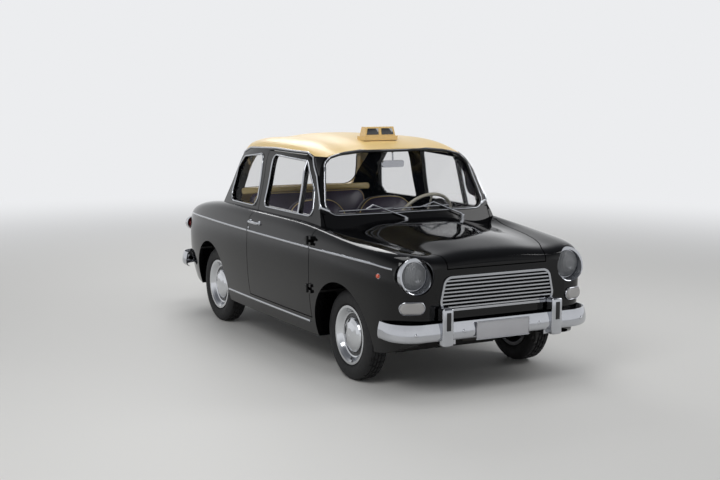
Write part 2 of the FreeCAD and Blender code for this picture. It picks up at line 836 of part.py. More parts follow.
def hinge_knuckles(ahead):
    """Knuckles on the wing (outer thirds) or on the door (middle third)."""
    third = S.hinge_length / 3
    pieces = []
    for foot in (S.hinge_low, S.hinge_high):
        if ahead:
            pieces.append(hinge_part(foot, foot + third, True))
            pieces.append(hinge_part(foot + 2 * third, foot + 3 * third, True))
        else:
            pieces.append(hinge_part(foot + third + S.running_gap, foot + 2 * third - S.running_gap, False))
    return pieces


wing = wing.fuse([front_house] + hinge_knuckles(True))
node("fender_left", solid_of(wing))
node("fender_right", mirrored(solid_of(wing)))

grille_outline = [(-S.grille_foot_half, S.grille_foot), (S.grille_foot_half, S.grille_foot),
                  (S.grille_top_half, S.grille_top), (-S.grille_top_half, S.grille_top)]
grille_hole = rounded(front_prism(grown(grille_outline, -S.grille_frame / 2), -REACH, -S.lamp_front),
                      S.grille_corner - S.grille_frame / 2, Vector(0, 1, 0))
nose = thin_skin.common(nose_region).cut([grille_hole, bracket_space, mirrored(bracket_space)])
node("nose_panel", solid_of(nose))

hood_cut = plan_prism(grown(hood_outline, -half_gap), S.hood_front_height + half_gap, REACH)
hood = thin_skin.common(hood_cut).cut(box(-REACH, REACH, -S.hood_rear - half_gap, REACH, -REACH, REACH))
hood_tab = thin_skin.common(box(S.hood_tab_offset - S.hinge_leaf / 2, S.hood_tab_offset + S.hinge_leaf / 2,
                                -S.hood_rear - S.shut_gap, half_gap - S.hood_rear - S.fit_gap,
                                S.waist_height * 0.8, REACH))
node("hood", solid_of(hood.fuse([hood_tab, mirrored(hood_tab)])))

quarter_space = box(0, REACH, DOOR_REAR + S.shut_gap, REACH, -REACH, REACH)
quarter_space = quarter_space.cut(box(0, REACH, 0, SILL_REAR, -REACH, S.sill_top))
quarter_space = quarter_space.cut([lid_space, tail_region, deck_region.cut(cabin)])
ahead_of_arch = box(0, REACH, 0, SILL_REAR, -REACH, REACH)
quarter = thick_skin.common(quarter_space.common(ahead_of_arch)).common(below_roof)
quarter = quarter.fuse(thin_skin.common(quarter_space.cut(ahead_of_arch)).common(below_roof))
rear_house = wheelhouse(AXLE_REAR, S.rear_house_half)
axle_slot = box(0, S.rear_house_half, AXLE_REAR - S.axle_tube_radius * 2, AXLE_REAR + S.axle_tube_radius * 2,
                -REACH, S.tyre_radius + S.axle_tube_radius * 3)
quarter = quarter.fuse(rear_house.cut(axle_slot)).cut([rear_arch, quarter_hole])
node("quarter_left", solid_of(quarter))
node("quarter_right", mirrored(solid_of(quarter)))



def lid_knuckle(start, end, behind):
    """One knuckle of a boot hinge with its leaf, on the lid or on the deck."""
    pin = Vector(start, S.lid_front, S.lid_hinge_height)
    barrel = cylinder(pin, pin + Vector(end - start, 0, 0), S.hinge_radius)
    front = S.lid_front if behind else S.lid_front - S.hinge_leaf
    leaf = box(start, end, front, front + S.hinge_leaf, S.lid_hinge_height - S.hinge_leaf,
               S.lid_hinge_height - S.hinge_radius / 2)
    return barrel.fuse(leaf).cut(outer)


def lid_knuckles(behind):
    """Knuckles of both boot hinges: outer thirds on the deck, middle third on the lid."""
    third = S.hinge_length / 3
    foot = S.lid_hinge_offset - S.hinge_length / 2
    if behind:
        pieces = [lid_knuckle(foot + third + S.running_gap, foot + 2 * third - S.running_gap, True)]
    else:
        pieces = [lid_knuckle(foot, foot + third, False), lid_knuckle(foot + 2 * third, foot + 3 * third, False)]
    return pieces + [mirrored(piece) for piece in pieces]


deck = thin_skin.common(deck_region).cut([cabin, roof_region]).fuse(lid_knuckles(False))
back_slot = bracket_space.mirror(Vector(0, 0, 0), Vector(0, 1, 0))
tail = thin_skin.common(tail_region).cut([box(-REACH, REACH, -REACH, S.tail_reach * 0.9, -REACH, REACH),
                                          back_slot, mirrored(back_slot)])
node("tail_panels", Part.makeCompound([solid_of(deck), solid_of(tail)]))

lid = thin_skin.common(box(-S.lid_half + half_gap, S.lid_half - half_gap, S.lid_front + half_gap, REACH,
                           S.lid_foot + half_gap, REACH))
node("boot_lid", solid_of(lid.fuse(lid_knuckles(True))))

door = thick_skin.common(door_region(0.0)).cut(door_hole)
vent_y = DOOR_FRONT + S.door_length * 0.36
vent_top = DOOR_FRONT + S.door_length * 0.387
vent_outline = [(vent_y - S.shut_gap, S.belt_height), (vent_y + S.shut_gap, S.belt_height),
                (vent_top + S.shut_gap, S.door_top), (vent_top - S.shut_gap, S.door_top)]
vent_bar = side_prism(vent_outline, S.door_inner * 0.5, REACH)
bar = cabin.cut(cabin_inner).common(vent_bar).common(door_region(0.0))
door = door.fuse([bar] + hinge_knuckles(False))
node("door_left", solid_of(door))
node("door_right", mirrored(solid_of(door)))

sill_end = SILL_REAR - S.wheelhouse_wall - S.fit_gap
sill = hull.common(box(S.sill_inner, REACH, DOOR_FRONT - S.shut_gap, sill_end, -REACH, S.sill_top))
node("sills", both(solid_of(sill)))

# Glass

pane_skin = cabin_form(S.glass_inset, cabin_low).cut(cabin_form(S.glass_inset + S.glass, cabin_low - S.overrun))
node("windscreen", solid_of(pane_skin.common(screen_prism(*screen_sizes, S.glass_edge))))
node("rear_window", solid_of(pane_skin.common(screen_prism(*back_sizes, S.glass_edge))))
door_pane = pane_skin.common(window_prism(door_window, WINDOW_ROUND, S.glass_edge))
door_pane = door_pane.cut(side_prism(grown(vent_outline, S.glass_edge), S.door_inner * 0.5, REACH))
node("door_glass_left", solid_of(door_pane))
node("door_glass_right", mirrored(solid_of(door_pane)))
quarter_pane = pane_skin.common(window_prism(quarter_window, WINDOW_ROUND, S.glass_edge))
node("side_windows", both(solid_of(quarter_pane)))

# Floor, bulkheads and rails

free = S.fit_gap
pan_half = S.sill_inner - free
house_half = S.rear_house_half - S.wheelhouse_wall - free
front_edge = -S.firewall_place
tunnel_wall = Part.makeCylinder(S.tunnel_radius, S.kick_place - front_edge,
                                Vector(0, front_edge, S.floor_height), Vector(0, 1, 0))
tunnel_space = Part.makeCylinder(S.tunnel_radius - S.sheet_wall, S.kick_place - front_edge + 2 * S.overrun,
                                 Vector(0, front_edge - S.overrun, S.floor_height), Vector(0, 1, 0))
floor_foot = S.floor_height
pan_split = SILL_REAR - S.wheelhouse_wall * 2
kick_half = S.sill_inner - S.shut_gap - free
floor_pieces = [
    box(-pan_half, pan_half, front_edge, S.kick_place + S.sheet_wall, floor_foot, floor_foot + S.sheet_wall),
    tunnel_wall,
    box(-pan_half, pan_half, S.kick_place, S.kick_place + S.sheet_wall, floor_foot, S.pan_height + S.sheet_wall),
    box(-pan_half, pan_half, S.kick_place, pan_split, S.pan_height, S.pan_height + S.sheet_wall),
    box(-house_half, house_half, pan_split - S.sheet_wall, S.bulkhead_place + S.sheet_wall,
        S.pan_height, S.pan_height + S.sheet_wall),
    box(-house_half, house_half, S.bulkhead_place, S.bulkhead_place + S.sheet_wall,
        S.pan_height, S.shelf_height + S.sheet_wall),
    box(-S.back_half_foot, S.back_half_foot, S.bulkhead_place, S.back_foot - S.cabin_wall,
        S.shelf_height, S.shelf_height + S.sheet_wall),
    box(-house_half, house_half, S.bulkhead_place, S.tail_reach - S.panel_wall * 3,
        S.boot_floor_height, S.boot_floor_height + S.sheet_wall),
    box(-kick_half, kick_half, front_edge, front_edge + S.sheet_wall, floor_foot, S.waist_height),
]
for sign in (1, -1):
    low, high = sorted((sign * kick_half, sign * (kick_half - S.sheet_wall)))
    floor_pieces.append(box(low, high, DOOR_FRONT - S.shut_gap + free, front_edge + S.sheet_wall,
                            floor_foot, S.waist_height))
    low, high = sorted((sign * (S.rail_offset - S.rail_width / 2), sign * (S.rail_offset + S.rail_width / 2)))
    floor_pieces.append(box(low, high, -S.rail_front, front_edge + S.sheet_wall, S.rail_foot,
                            S.rail_foot + S.rail_height))
    floor_pieces.append(box(low, high, S.bulkhead_place, S.rail_rear, S.rail_foot,
                            S.boot_floor_height + S.sheet_wall))
lining = hull_form(S.panel_wall + free, S.overrun)
floor = floor_pieces[0].fuse(floor_pieces[1:])
floor = floor.cut([tunnel_space, box(-S.tunnel_radius, S.tunnel_radius, front_edge, S.kick_place,
                                     floor_foot - S.tunnel_radius, floor_foot)])
floor = floor.common(lining)
for end in (-S.rail_front + S.eye_radius, S.rail_rear - S.eye_radius):
    centre = Vector(S.rail_offset - S.eye_width / 2, end, S.rail_foot - S.eye_drop)
    hanger = box(centre.x, centre.x + S.eye_width, end - S.eye_radius, end + S.eye_radius,
                 centre.z, S.rail_foot + S.sheet_wall)
    floor = floor.fuse([hanger, Part.makeCylinder(S.eye_radius, S.eye_width, centre, Vector(1, 0, 0))])
    floor = floor.cut(Part.makeCylinder(S.eye_bore, S.eye_width + 2 * S.overrun,
                                        centre - Vector(S.overrun, 0, 0), Vector(1, 0, 0)))
node("floor_pan", solid_of(floor))

# Bumpers

def bumper_section(x, y, height, crown):
    """Closed section of the bumper bar in the plane across its end: bowed face, ridge on top."""
    tall = S.bumper_tall
    wall = S.bumper_wall

    def at(out, up):
        return Vector(x - out, y, height + up)

    face = Part.BSplineCurve()
    face.interpolate([at(0, -tall * 0.5), at(crown * 0.85, -tall * 0.36), at(crown, -tall * 0.05),
                      at(crown * 0.8, tall * 0.26), at(crown * 0.55, tall * 0.5)])
    back = Part.BSplineCurve()
    back.interpolate([at(crown * 0.55 - wall, tall * 0.5), at(crown * 0.8 - wall, tall * 0.24),
                      at(crown - wall, -tall * 0.05), at(crown * 0.85 - wall, -tall * 0.33),
                      at(-wall, -tall * 0.5)])
    return Part.Wire([face.toShape(), Part.makeLine(face.EndPoint, back.StartPoint), back.toShape(),
                      Part.makeLine(back.EndPoint, face.StartPoint)])


def bumper(reach):
    """A bumper across the nose, with its guards and the brackets that reach the rails."""
    half = S.bumper_half
    end = S.bumper_bend + S.bumper_return - reach
    corners = [Vector(-half, end, S.bumper_height), Vector(-half, -reach, S.bumper_height),
               Vector(half, -reach, S.bumper_height), Vector(half, end, S.bumper_height)]
    path = tube_path(corners, S.bumper_bend)
    bar = path.makePipeShell([bumper_section(-half, end, S.bumper_height, S.bumper_crown)], True, False)
    pieces = []
    guard = box(S.guard_offset - S.guard_width / 2, S.guard_offset + S.guard_width / 2,
                -S.guard_reach, S.bumper_wall - reach, S.guard_foot, S.guard_top)
    upright = [e for e in guard.Edges if e.CenterOfMass.y < -reach and e.Length < S.guard_reach]
    guard = guard.makeFillet(S.guard_round, [e for e in upright if abs(e.CenterOfMass.y + S.guard_reach) < 1e-3])
    for sign in (1, -1):
        low, high = sorted((sign * (S.rail_offset - S.bracket_width / 2),
                            sign * (S.rail_offset + S.bracket_width / 2)))
        pieces.append(box(low, high, -reach - S.bumper_wall, -S.rail_front - S.fit_gap, S.rail_foot,
                          S.rail_foot + S.bracket_tall))
    return bar.fuse([guard, mirrored(guard)] + pieces)


front_bumper = bumper(S.bumper_reach)
node("bumper_front", solid_of(front_bumper))
back_bumper = bumper(S.bumper_rear_reach).mirror(Vector(0, 0, 0), Vector(0, 1, 0))
node("bumper_rear", solid_of(back_bumper))

# Grille

grille_back = -S.nose_reach + S.grille_depth - S.grille_proud
grille_front = -S.nose_reach - S.grille_proud
frame_outer = rounded(front_prism(grille_outline, grille_front, grille_back), S.grille_corner, Vector(0, 1, 0))
frame_inner = rounded(front_prism(grown(grille_outline, -S.grille_frame), grille_front - S.overrun,
                                  grille_back + S.overrun), S.grille_corner - S.grille_frame, Vector(0, 1, 0))
bars = []
height = S.grille_foot + S.grille_pitch
while height < S.grille_top - S.grille_pitch / 2:
    bars.append(box(-S.grille_foot_half, S.grille_foot_half, grille_front + S.grille_bar / 2,
                    grille_back - S.grille_bar / 2, height - S.grille_bar / 2, height + S.grille_bar / 2))
    height += S.grille_pitch
bars = [bar.common(frame_outer) for bar in bars]
grille = frame_outer.cut(frame_inner).fuse(bars).cut(nose)
node("grille", solid_of(grille))

# Lamps

def turned(points, foot, direction):
    """A solid turned from (along, radius) points about an axis."""
    side = Vector(0, 0, 1)
    wire = Part.makePolygon([foot + direction * along + side * radius
                             for along, radius in points + points[:1]])
    return Part.Face(wire).revolve(foot, direction, 360)


forward = Vector(0, -1, 0)
ring = S.lamp_ring_radius
lens = S.lamp_lens_radius
lip = S.lamp_lip
bucket = turned([(-S.lamp_pod_radius * 0.6, 0), (-S.lamp_pod_radius * 0.6, lens * 0.4),
                 (-S.lamp_pod_radius * 0.3, lens * 0.9), (0, S.lamp_pod_radius - S.panel_wall * 1.5), (0, ring),
                 (S.lamp_hood * 0.9, ring), (S.lamp_hood, ring - lip / 2), (S.lamp_hood * 0.95, ring - lip),
                 (lip * 2, lens + lip / 2), (lip * 2, 0)], lamp_foot, forward)
visor = Part.makeBox(S.overrun * 2, S.overrun * 2, S.overrun * 2,
                     Vector(-S.overrun, -S.overrun * 2, -S.overrun))
visor.rotate(Vector(0, 0, 0), Vector(1, 0, 0), -S.lamp_visor_tilt)
visor.translate(lamp_foot + forward * (S.lamp_hood * 0.75))
bucket = bucket.cut(visor)
node("headlamps", both(solid_of(bucket)))
dome = turned([(0, 0), (0, lens), (lip / 2, lens), (S.lamp_lens_depth * 0.7, lens * 0.6),
               (S.lamp_lens_depth, lens * 0.25), (S.lamp_lens_depth, 0)],
              lamp_foot + forward * (lip * 2 + free), forward)
node("headlamp_lenses", both(solid_of(dome)))

signal = box(-S.signal_length / 2, S.signal_length / 2, -S.signal_depth, S.signal_depth,
             -S.signal_width / 2, S.signal_width / 2)
signal = rounded(signal, S.signal_width * 0.49, Vector(0, 1, 0))
front_face = [e for e in signal.Edges if all(abs(v.Y + S.signal_depth) < 1e-3 for v in e.Vertexes)]
signal = signal.makeFillet(S.signal_round, front_face)
signal.rotate(Vector(0, 0, 0), Vector(0, 0, 1), S.signal_turn)
signal.translate(Vector(S.signal_offset, -S.signal_reach, S.signal_height))
signal = signal.cut(outer)
node("turn_signals", both(max(signal.Solids, key=lambda solid: solid.Volume)))

tail_lamp = Part.makeSphere(S.tail_lamp_radius)
tail_lamp.translate(Vector(S.tail_lamp_offset, S.tail_lamp_place, S.tail_lamp_height))
tail_lamp = tail_lamp.cut(outer)
node("tail_lamps", both(max(tail_lamp.Solids, key=lambda solid: solid.Volume)))

# Cabin fittings

def seat_side(front, foot, thick, depth, top, back_thick, lean):
    """Side outline of a seat: cushion and leaning back in one."""
    back = front + depth
    return [(front, foot), (back, foot), (back + lean, top), (back + lean - back_thick, top),
            (back - back_thick * 1.2, foot + thick), (front, foot + thick)]


def seat(half, outline, radius):
    """A seat pushed along X, its long edges and its sides rounded."""
    block = side_prism(outline, -half, half)
    return block.makeFillet(radius, [e for e in block.Edges
                                     if abs(e.Curve.Direction.x) > 0.999 and e.CenterOfMass.z > outline[0][1] + 1])


front_outline = seat_side(-S.seat_front, S.seat_foot, S.seat_thick, S.seat_depth, S.seat_top,
                          S.seat_back_thick, S.seat_lean)
front_seat = seat(S.seat_half, front_outline, S.seat_round)
front_seat.translate(Vector(S.seat_offset, 0, 0))
runners = []
for edge in (S.seat_offset - S.seat_half * 0.4, S.seat_offset + S.seat_half * 0.85):
    runners.append(box(edge, edge + S.runner_width, -S.seat_front + S.seat_round, S.seat_depth - S.seat_front
                       - S.seat_round, S.floor_height + S.sheet_wall + free, S.seat_foot))
front_seat = front_seat.fuse(runners)
node("front_seats", both(solid_of(front_seat)))

bench_back = S.bulkhead_place - free
bench = seat(S.bench_half, [(S.bench_front, S.pan_height + S.sheet_wall + free), (bench_back, S.pan_height + S.sheet_wall + free),
                            (bench_back, S.bench_back_top), (bench_back - S.bench_back_thick * 0.7, S.bench_back_top),
                            (bench_back - S.bench_back_thick * 1.3, S.bench_top), (S.bench_front, S.bench_top)],
             S.seat_round)
shoulder = seat(S.bench_wide_half, [(bench_back - S.bench_back_thick, S.bench_wide_foot),
                                    (bench_back, S.bench_wide_foot), (bench_back, S.bench_back_top),
                                    (bench_back - S.bench_back_thick * 0.7, S.bench_back_top)], S.seat_round / 2)
node("rear_seat", solid_of(bench.fuse(shoulder)))

dash_front = -S.firewall_place + S.sheet_wall + free
dash = side_prism([(dash_front, S.dash_top - S.dash_tall), (dash_front, S.dash_top - S.dash_tall * 0.25),
                   (dash_front + S.dash_depth * 0.25, S.dash_top - S.dash_tall * 0.05),
                   (dash_front + S.dash_depth * 0.85, S.dash_top),
                   (dash_front + S.dash_depth, S.dash_top - S.dash_tall * 0.2),
                   (dash_front + S.dash_depth * 0.92, S.dash_top - S.dash_tall * 0.8),
                   (dash_front + S.dash_depth * 0.8, S.dash_top - S.dash_tall)], -S.dash_half, S.dash_half)
lean = math.radians(S.wheel_lean)
wheel_axis = Vector(0, math.cos(lean), math.sin(lean))
wheel_centre = Vector(S.wheel_offset, -S.wheel_place, S.wheel_height)
column_top = wheel_centre - wheel_axis * (S.hub_depth + free)
column_foot = wheel_centre - wheel_axis * ((dash_front + S.wheel_place) / -math.cos(lean) + S.overrun)
column = cylinder(column_top, column_foot, S.column_radius)
column = column.cut(box(-REACH, REACH, -REACH, dash_front, -REACH, REACH))
node("dashboard", solid_of(dash.fuse(column)))

hub = cylinder(wheel_centre - wheel_axis * S.hub_depth, wheel_centre, S.hub_radius)
rim_ring = Part.makeTorus(S.wheel_rim_radius, S.wheel_rim_tube, wheel_centre, wheel_axis)
spokes = []
for angle in (90, 210, 330):
    arm = Vector(math.cos(math.radians(angle)), -math.sin(lean) * math.sin(math.radians(angle)),
                 math.cos(lean) * math.sin(math.radians(angle)))
    spokes.append(cylinder(wheel_centre - wheel_axis * (S.hub_depth / 2), wheel_centre + arm * S.wheel_rim_radius,
                           S.wheel_rim_tube * 0.6))
node("steering_wheel", solid_of(hub.fuse([rim_ring] + spokes)))

mirror_middle = Vector(0, -S.mirror_place, S.mirror_height)
glass_block = rounded(box(-S.mirror_half, S.mirror_half, -S.mirror_thick / 2, S.mirror_thick / 2,
                          -S.mirror_tall / 2, S.mirror_tall / 2), S.mirror_tall * 0.3, Vector(0, 1, 0))
glass_block.translate(mirror_middle)
stem = cylinder(mirror_middle, mirror_middle + Vector(0, S.mirror_stem_back, S.overrun), S.arm_radius / 2)
stem = stem.common(cabin_form(S.cabin_wall + free, cabin_low))
node("mirror", solid_of(glass_block.fuse(stem)))

# Wipers

def on_screen(x, z, off):
    """A point at a distance in front of the windscreen."""
    bow = S.screen_bow * (x / (S.cabin_half_width * 1.1)) ** 2
    return Vector(x, screen_y(z, -off) + bow, z)


def wiper(shares):
    """Boss on the cowl, arm and blade of one wiper."""
    pivot, elbow, tip, heel = (S.screen_half_foot * share for share in shares)
    rise = S.screen_high - S.screen_low
    cowl = Vector(pivot, screen_y(S.belt_height, 0) - S.wiper_boss, S.belt_height)
    boss = cylinder(cowl - Vector(0, 0, S.wiper_boss * 3), cowl, S.wiper_boss).cut(outer)
    boss = max(boss.Solids, key=lambda solid: solid.Volume)
    knee = on_screen(elbow, S.screen_low + rise * 0.13, S.wiper_boss)
    hold = on_screen((tip + heel) / 2, S.screen_low + rise * 0.06, S.wiper_boss * 0.6)
    arm = cylinder(cowl, knee, S.wiper_radius).fuse(cylinder(knee, hold, S.wiper_radius))
    blade = cylinder(on_screen(tip, S.screen_low + rise * 0.05, S.wiper_radius + S.fit_gap),
                     on_screen(heel, S.screen_low + rise * 0.06, S.wiper_radius + S.fit_gap), S.wiper_radius)
    return boss.fuse([arm, blade]).cut(outer.fuse(pane_skin))


wipers = [wiper(shares) for shares in WIPER_SHARES]
node("wipers", Part.makeCompound([max(w.Solids, key=lambda solid: solid.Volume) for w in wipers]))

# Roof sign

def sign_wire(half, depth, z):
    """Oblong outline of the sign at a height."""
    y = -S.sign_place
    return Part.makePolygon([Vector(-half, y - depth / 2, z), Vector(half, y - depth / 2, z),
                             Vector(half, y + depth / 2, z), Vector(-half, y + depth / 2, z),
                             Vector(-half, y - depth / 2, z)])


sign_foot = S.roof_height - S.sign_overlap * 2
sign = Part.makeLoft([sign_wire(S.sign_half, S.sign_depth, sign_foot),
                      sign_wire(S.sign_top_half, S.sign_top_depth, S.roof_height + S.sign_tall)], True, True)
flange = box(-S.sign_half - S.sign_flange, S.sign_half + S.sign_flange, -S.sign_place - S.sign_depth / 2
             - S.sign_flange, -S.sign_place + S.sign_depth / 2 + S.sign_flange, sign_foot,
             S.roof_height + S.sign_overlap / 4)
sign = sign.fuse(rounded(flange, S.sign_flange, Vector(0, 0, 1))).cut(cabin)
node("roof_sign", max(sign.Solids, key=lambda solid: solid.Volume))

# Wheels and tyres

rim_half = S.rim_width / 2
bead = S.tyre_bead_radius
flange_radius = bead + S.rim_flange
disc_in = S.disc_place
drum_end = disc_in - S.drum_width
stub_end = S.stub_depth
wheel_outline = [
    (rim_half, flange_radius), (rim_half - S.rim_wall, flange_radius), (rim_half - S.rim_wall, bead),
    (rim_half * 0.35, bead), (rim_half * 0.2, bead - S.rim_well), (-rim_half * 0.4, bead - S.rim_well),
    (-rim_half * 0.5, bead), (S.rim_wall - rim_half, bead), (S.rim_wall - rim_half, flange_radius),
    (-rim_half, flange_radius), (-rim_half, bead - S.rim_wall), (-rim_half * 0.58, bead - S.rim_wall),
    (-rim_half * 0.48, bead - S.rim_well - S.rim_wall), (disc_in, bead - S.rim_well - S.rim_wall),
    (disc_in, S.drum_radius), (drum_end, S.drum_radius), (drum_end, S.axle_radius + S.running_gap),
    (stub_end, S.axle_radius + S.running_gap), (stub_end, 0), (disc_in + S.cap_height * 2, 0),
    (disc_in + S.cap_height * 1.9, S.cap_radius * 0.4), (disc_in + S.cap_height * 1.6, S.cap_radius * 0.75),
    (disc_in + S.cap_height * 1.2, S.cap_radius * 0.96), (disc_in + S.cap_height, S.cap_radius),
    (disc_in + S.cap_height * 0.6, S.cap_radius * 1.08), (disc_in + S.cap_height * 0.55, S.cap_radius * 1.2),
    (rim_half * 0.5, bead - S.rim_well * 2.2), (rim_half * 0.8, bead - S.rim_well),
    (rim_half, bead),
]
bead_half = rim_half - S.rim_wall - S.fit_gap
tyre_half = S.tyre_width / 2
tyre_outline = [
    (-bead_half, bead + S.fit_gap), (bead_half, bead + S.fit_gap), (bead_half, flange_radius + S.tyre_lift),
    (tyre_half, flange_radius + S.tyre_lift * 5), (tyre_half, S.tyre_radius - S.tyre_shoulder),
    (tyre_half * 0.74, S.tyre_radius), (-tyre_half * 0.74, S.tyre_radius),
    (-tyre_half, S.tyre_radius - S.tyre_shoulder), (-tyre_half, flange_radius + S.tyre_lift * 5),
    (-bead_half, flange_radius + S.tyre_lift),
]


def soften(body, radii, radius):
    """Rounds the circular edges of a turned body at the given radii."""
    doc.recompute()
    turn = body.Tip
    names = []
    for index, edge in enumerate(turn.Shape.Edges, start=1):
        if isinstance(edge.Curve, Part.Circle) and any(abs(edge.Curve.Radius - r) < 1e-3 for r in radii):
            names.append(f"Edge{index}")
    fillet = body.newObject("PartDesign::Fillet", f"{body.Name}_round")
    fillet.Base = (turn, names)
    fillet.Radius = float(radius)
    bind(fillet, Radius=radius)
    return fillet


for end, axle in (("front", AXLE_FRONT), ("rear", AXLE_REAR)):
    for side, sign in SIDES:
        turn = Rotation(Vector(0, 0, 1), 0 if sign > 0 else 180)
        wheel = turned_body(f"wheel_{end}_{side}", wheel_outline)
        tyre = turned_body(f"tyre_{end}_{side}", tyre_outline)
        soften(tyre, (S.tyre_radius - S.tyre_shoulder, flange_radius + S.tyre_lift * 5), S.tyre_round)
        for body in (wheel, tyre):
            place(body, S.track_half * sign, axle, S.tyre_radius * 1.0, turn)

# Front suspension and knuckles

king_x = S.track_half - S.kingpin_inset
king_foot = S.tyre_radius - S.kingpin_height / 2
king_top = S.tyre_radius + S.kingpin_height / 2
plate_end = S.track_half + drum_end - S.plate_gap
king = Part.makeCylinder(S.kingpin_radius, S.kingpin_height)
king = king.fuse(Part.makeCylinder(S.boss_radius, S.boss_height,
                                   Vector(0, 0, (S.kingpin_height - S.boss_height) / 2)))
king.rotate(Vector(0, 0, 0), Vector(0, 0, 1), SEAM_TURN)
king.translate(Vector(king_x, AXLE_FRONT, king_foot))
stub = cylinder(Vector(king_x, AXLE_FRONT, S.tyre_radius),
                Vector(S.track_half + stub_end - S.fit_gap, AXLE_FRONT, S.tyre_radius), S.axle_radius)
plate = cylinder(Vector(plate_end - S.plate_thickness, AXLE_FRONT, S.tyre_radius),
                 Vector(plate_end, AXLE_FRONT, S.tyre_radius), S.drum_radius)
steer_arm = box(king_x - S.kingpin_radius * 0.7, king_x + S.kingpin_radius * 0.7, AXLE_FRONT,
                AXLE_FRONT + S.steer_arm_length, S.tyre_radius - S.steer_arm_drop - S.arm_radius,
                S.tyre_radius - S.steer_arm_drop)
knuckle = king.fuse([stub, plate, steer_arm])
node("knuckle_left", solid_of(knuckle))
node("knuckle_right", mirrored(solid_of(knuckle)))

rail_side = S.rail_offset + S.rail_width / 2
eye = S.kingpin_radius * 1.5
eye_tall = S.arm_radius * 1.5
eyes = []
for foot in (king_foot - S.fit_gap - eye_tall, king_top + S.fit_gap):
    middle = foot + eye_tall / 2
    inner_x = rail_side + free + S.arm_radius if foot > S.tyre_radius else rail_side - S.arm_radius
    half_spread = S.arm_spread / 2 if foot > S.tyre_radius else S.member_half * 0.8
    pieces = [Part.makeCylinder(eye, eye_tall, Vector(king_x, AXLE_FRONT, foot))]
    for sign in (1, -1):
        pieces.append(cylinder(Vector(inner_x, AXLE_FRONT + sign * half_spread, middle),
                               Vector(king_x, AXLE_FRONT, middle), eye_tall / 2))
    if foot > S.tyre_radius:
        pieces.append(box(rail_side + free, rail_side + free + S.arm_radius, AXLE_FRONT - S.arm_spread / 2 - eye,
                          AXLE_FRONT + S.arm_spread / 2 + eye, foot, foot + eye_tall))
    eyes.append(pieces[0].fuse(pieces[1:]))
lower_arm, upper_arm = eyes
member_foot = king_foot - S.fit_gap - eye_tall
member = box(0, rail_side, AXLE_FRONT - S.member_half, AXLE_FRONT + S.member_half, member_foot,
             member_foot + S.member_tall)
post = box(rail_side - S.rail_width, rail_side, AXLE_FRONT - S.member_half, AXLE_FRONT + S.member_half,
           member_foot, S.rail_foot - free)
spring_x = (S.front_house_half + king_x) / 2 - S.spring_radius * 0.4
damper = cylinder(Vector(spring_x, AXLE_FRONT, member_foot + eye_tall / 2),
                  Vector(spring_x, AXLE_FRONT, S.tyre_radius + S.arch_radius), S.damper_radius)
coil = cylinder(Vector(spring_x, AXLE_FRONT, S.tyre_radius - S.damper_radius),
                Vector(spring_x, AXLE_FRONT, S.tyre_radius + S.arch_radius * 0.8), S.spring_radius)
strut = damper.fuse(coil).common(arch(AXLE_FRONT, 0, S.arch_radius - free))
left_side = member.fuse([post, lower_arm, strut])
left_side = left_side.fuse(mirrored(left_side))
upper_arm = upper_arm.cut(strut)
node("front_suspension", Part.makeCompound([solid_of(left_side), solid_of(upper_arm), mirrored(solid_of(upper_arm))]))

# Rear axle and leaf springs

axle_tube_end = plate_end - S.plate_thickness
tube = cylinder(Vector(-axle_tube_end, AXLE_REAR, S.tyre_radius), Vector(axle_tube_end, AXLE_REAR, S.tyre_radius),
                S.axle_tube_radius)
shaft_end = S.track_half + stub_end - S.fit_gap
half_shafts = cylinder(Vector(-shaft_end, AXLE_REAR, S.tyre_radius), Vector(shaft_end, AXLE_REAR, S.tyre_radius),
                       S.axle_radius)
differential = Part.makeSphere(S.differential_radius)
differential.rotate(Vector(0, 0, 0), Vector(0, 0, 1), SEAM_TURN)
differential.translate(Vector(0, AXLE_REAR, S.tyre_radius))
axle_pieces = [half_shafts, differential]
spring_top = S.tyre_radius - S.axle_tube_radius
for sign in (1, -1):
    axle_pieces.append(cylinder(Vector(sign * axle_tube_end, AXLE_REAR, S.tyre_radius),
                                Vector(sign * plate_end, AXLE_REAR, S.tyre_radius), S.drum_radius))
    x0 = sign * S.spring_offset - S.spring_width / 2
    tip_top = spring_top + S.spring_camber
    tip_foot = tip_top - S.spring_thickness / 2
    lower = Part.Arc(Vector(x0, AXLE_REAR - S.spring_half_length, tip_foot),
                     Vector(x0, AXLE_REAR, spring_top - S.spring_thickness),
                     Vector(x0, AXLE_REAR + S.spring_half_length, tip_foot))
    upper = Part.Arc(Vector(x0, AXLE_REAR + S.spring_half_length, tip_top), Vector(x0, AXLE_REAR, spring_top),
                     Vector(x0, AXLE_REAR - S.spring_half_length, tip_top))
    wire = Part.Wire([lower.toShape(), Part.makeLine(lower.EndPoint, upper.StartPoint), upper.toShape(),
                      Part.makeLine(upper.EndPoint, lower.StartPoint)])
    axle_pieces.append(Part.Face(wire).extrude(Vector(S.spring_width, 0, 0)))
    axle_pieces.append(box(x0, x0 + S.spring_width, AXLE_REAR - S.spring_width, AXLE_REAR + S.spring_width,
                           spring_top - S.spring_thickness, S.tyre_radius))
    for end, carrier in ((-1, S.pan_height), (1, S.boot_floor_height)):
        y0 = AXLE_REAR + end * S.spring_half_length
        low, high = sorted((y0, y0 - end * S.spring_width))
        axle_pieces.append(box(x0, x0 + S.spring_width, low, high, spring_top + S.spring_camber * 0.7, carrier - free))
node("rear_axle", solid_of(tube.fuse(axle_pieces)))

# Engine, gearbox and propeller shaft

engine = padded_body("engine", "XZ_Plane", [(-S.engine_half, S.engine_foot), (-S.sump_half, S.sump_foot),
                                            (S.sump_half, S.sump_foot), (S.engine_half, S.engine_foot),
                                            (S.engine_half, S.engine_top), (-S.engine_half, S.engine_top)],
                     S.engine_front - S.engine_rear)
place(engine, 0, -(S.engine_front + S.engine_rear) / 2, 0)

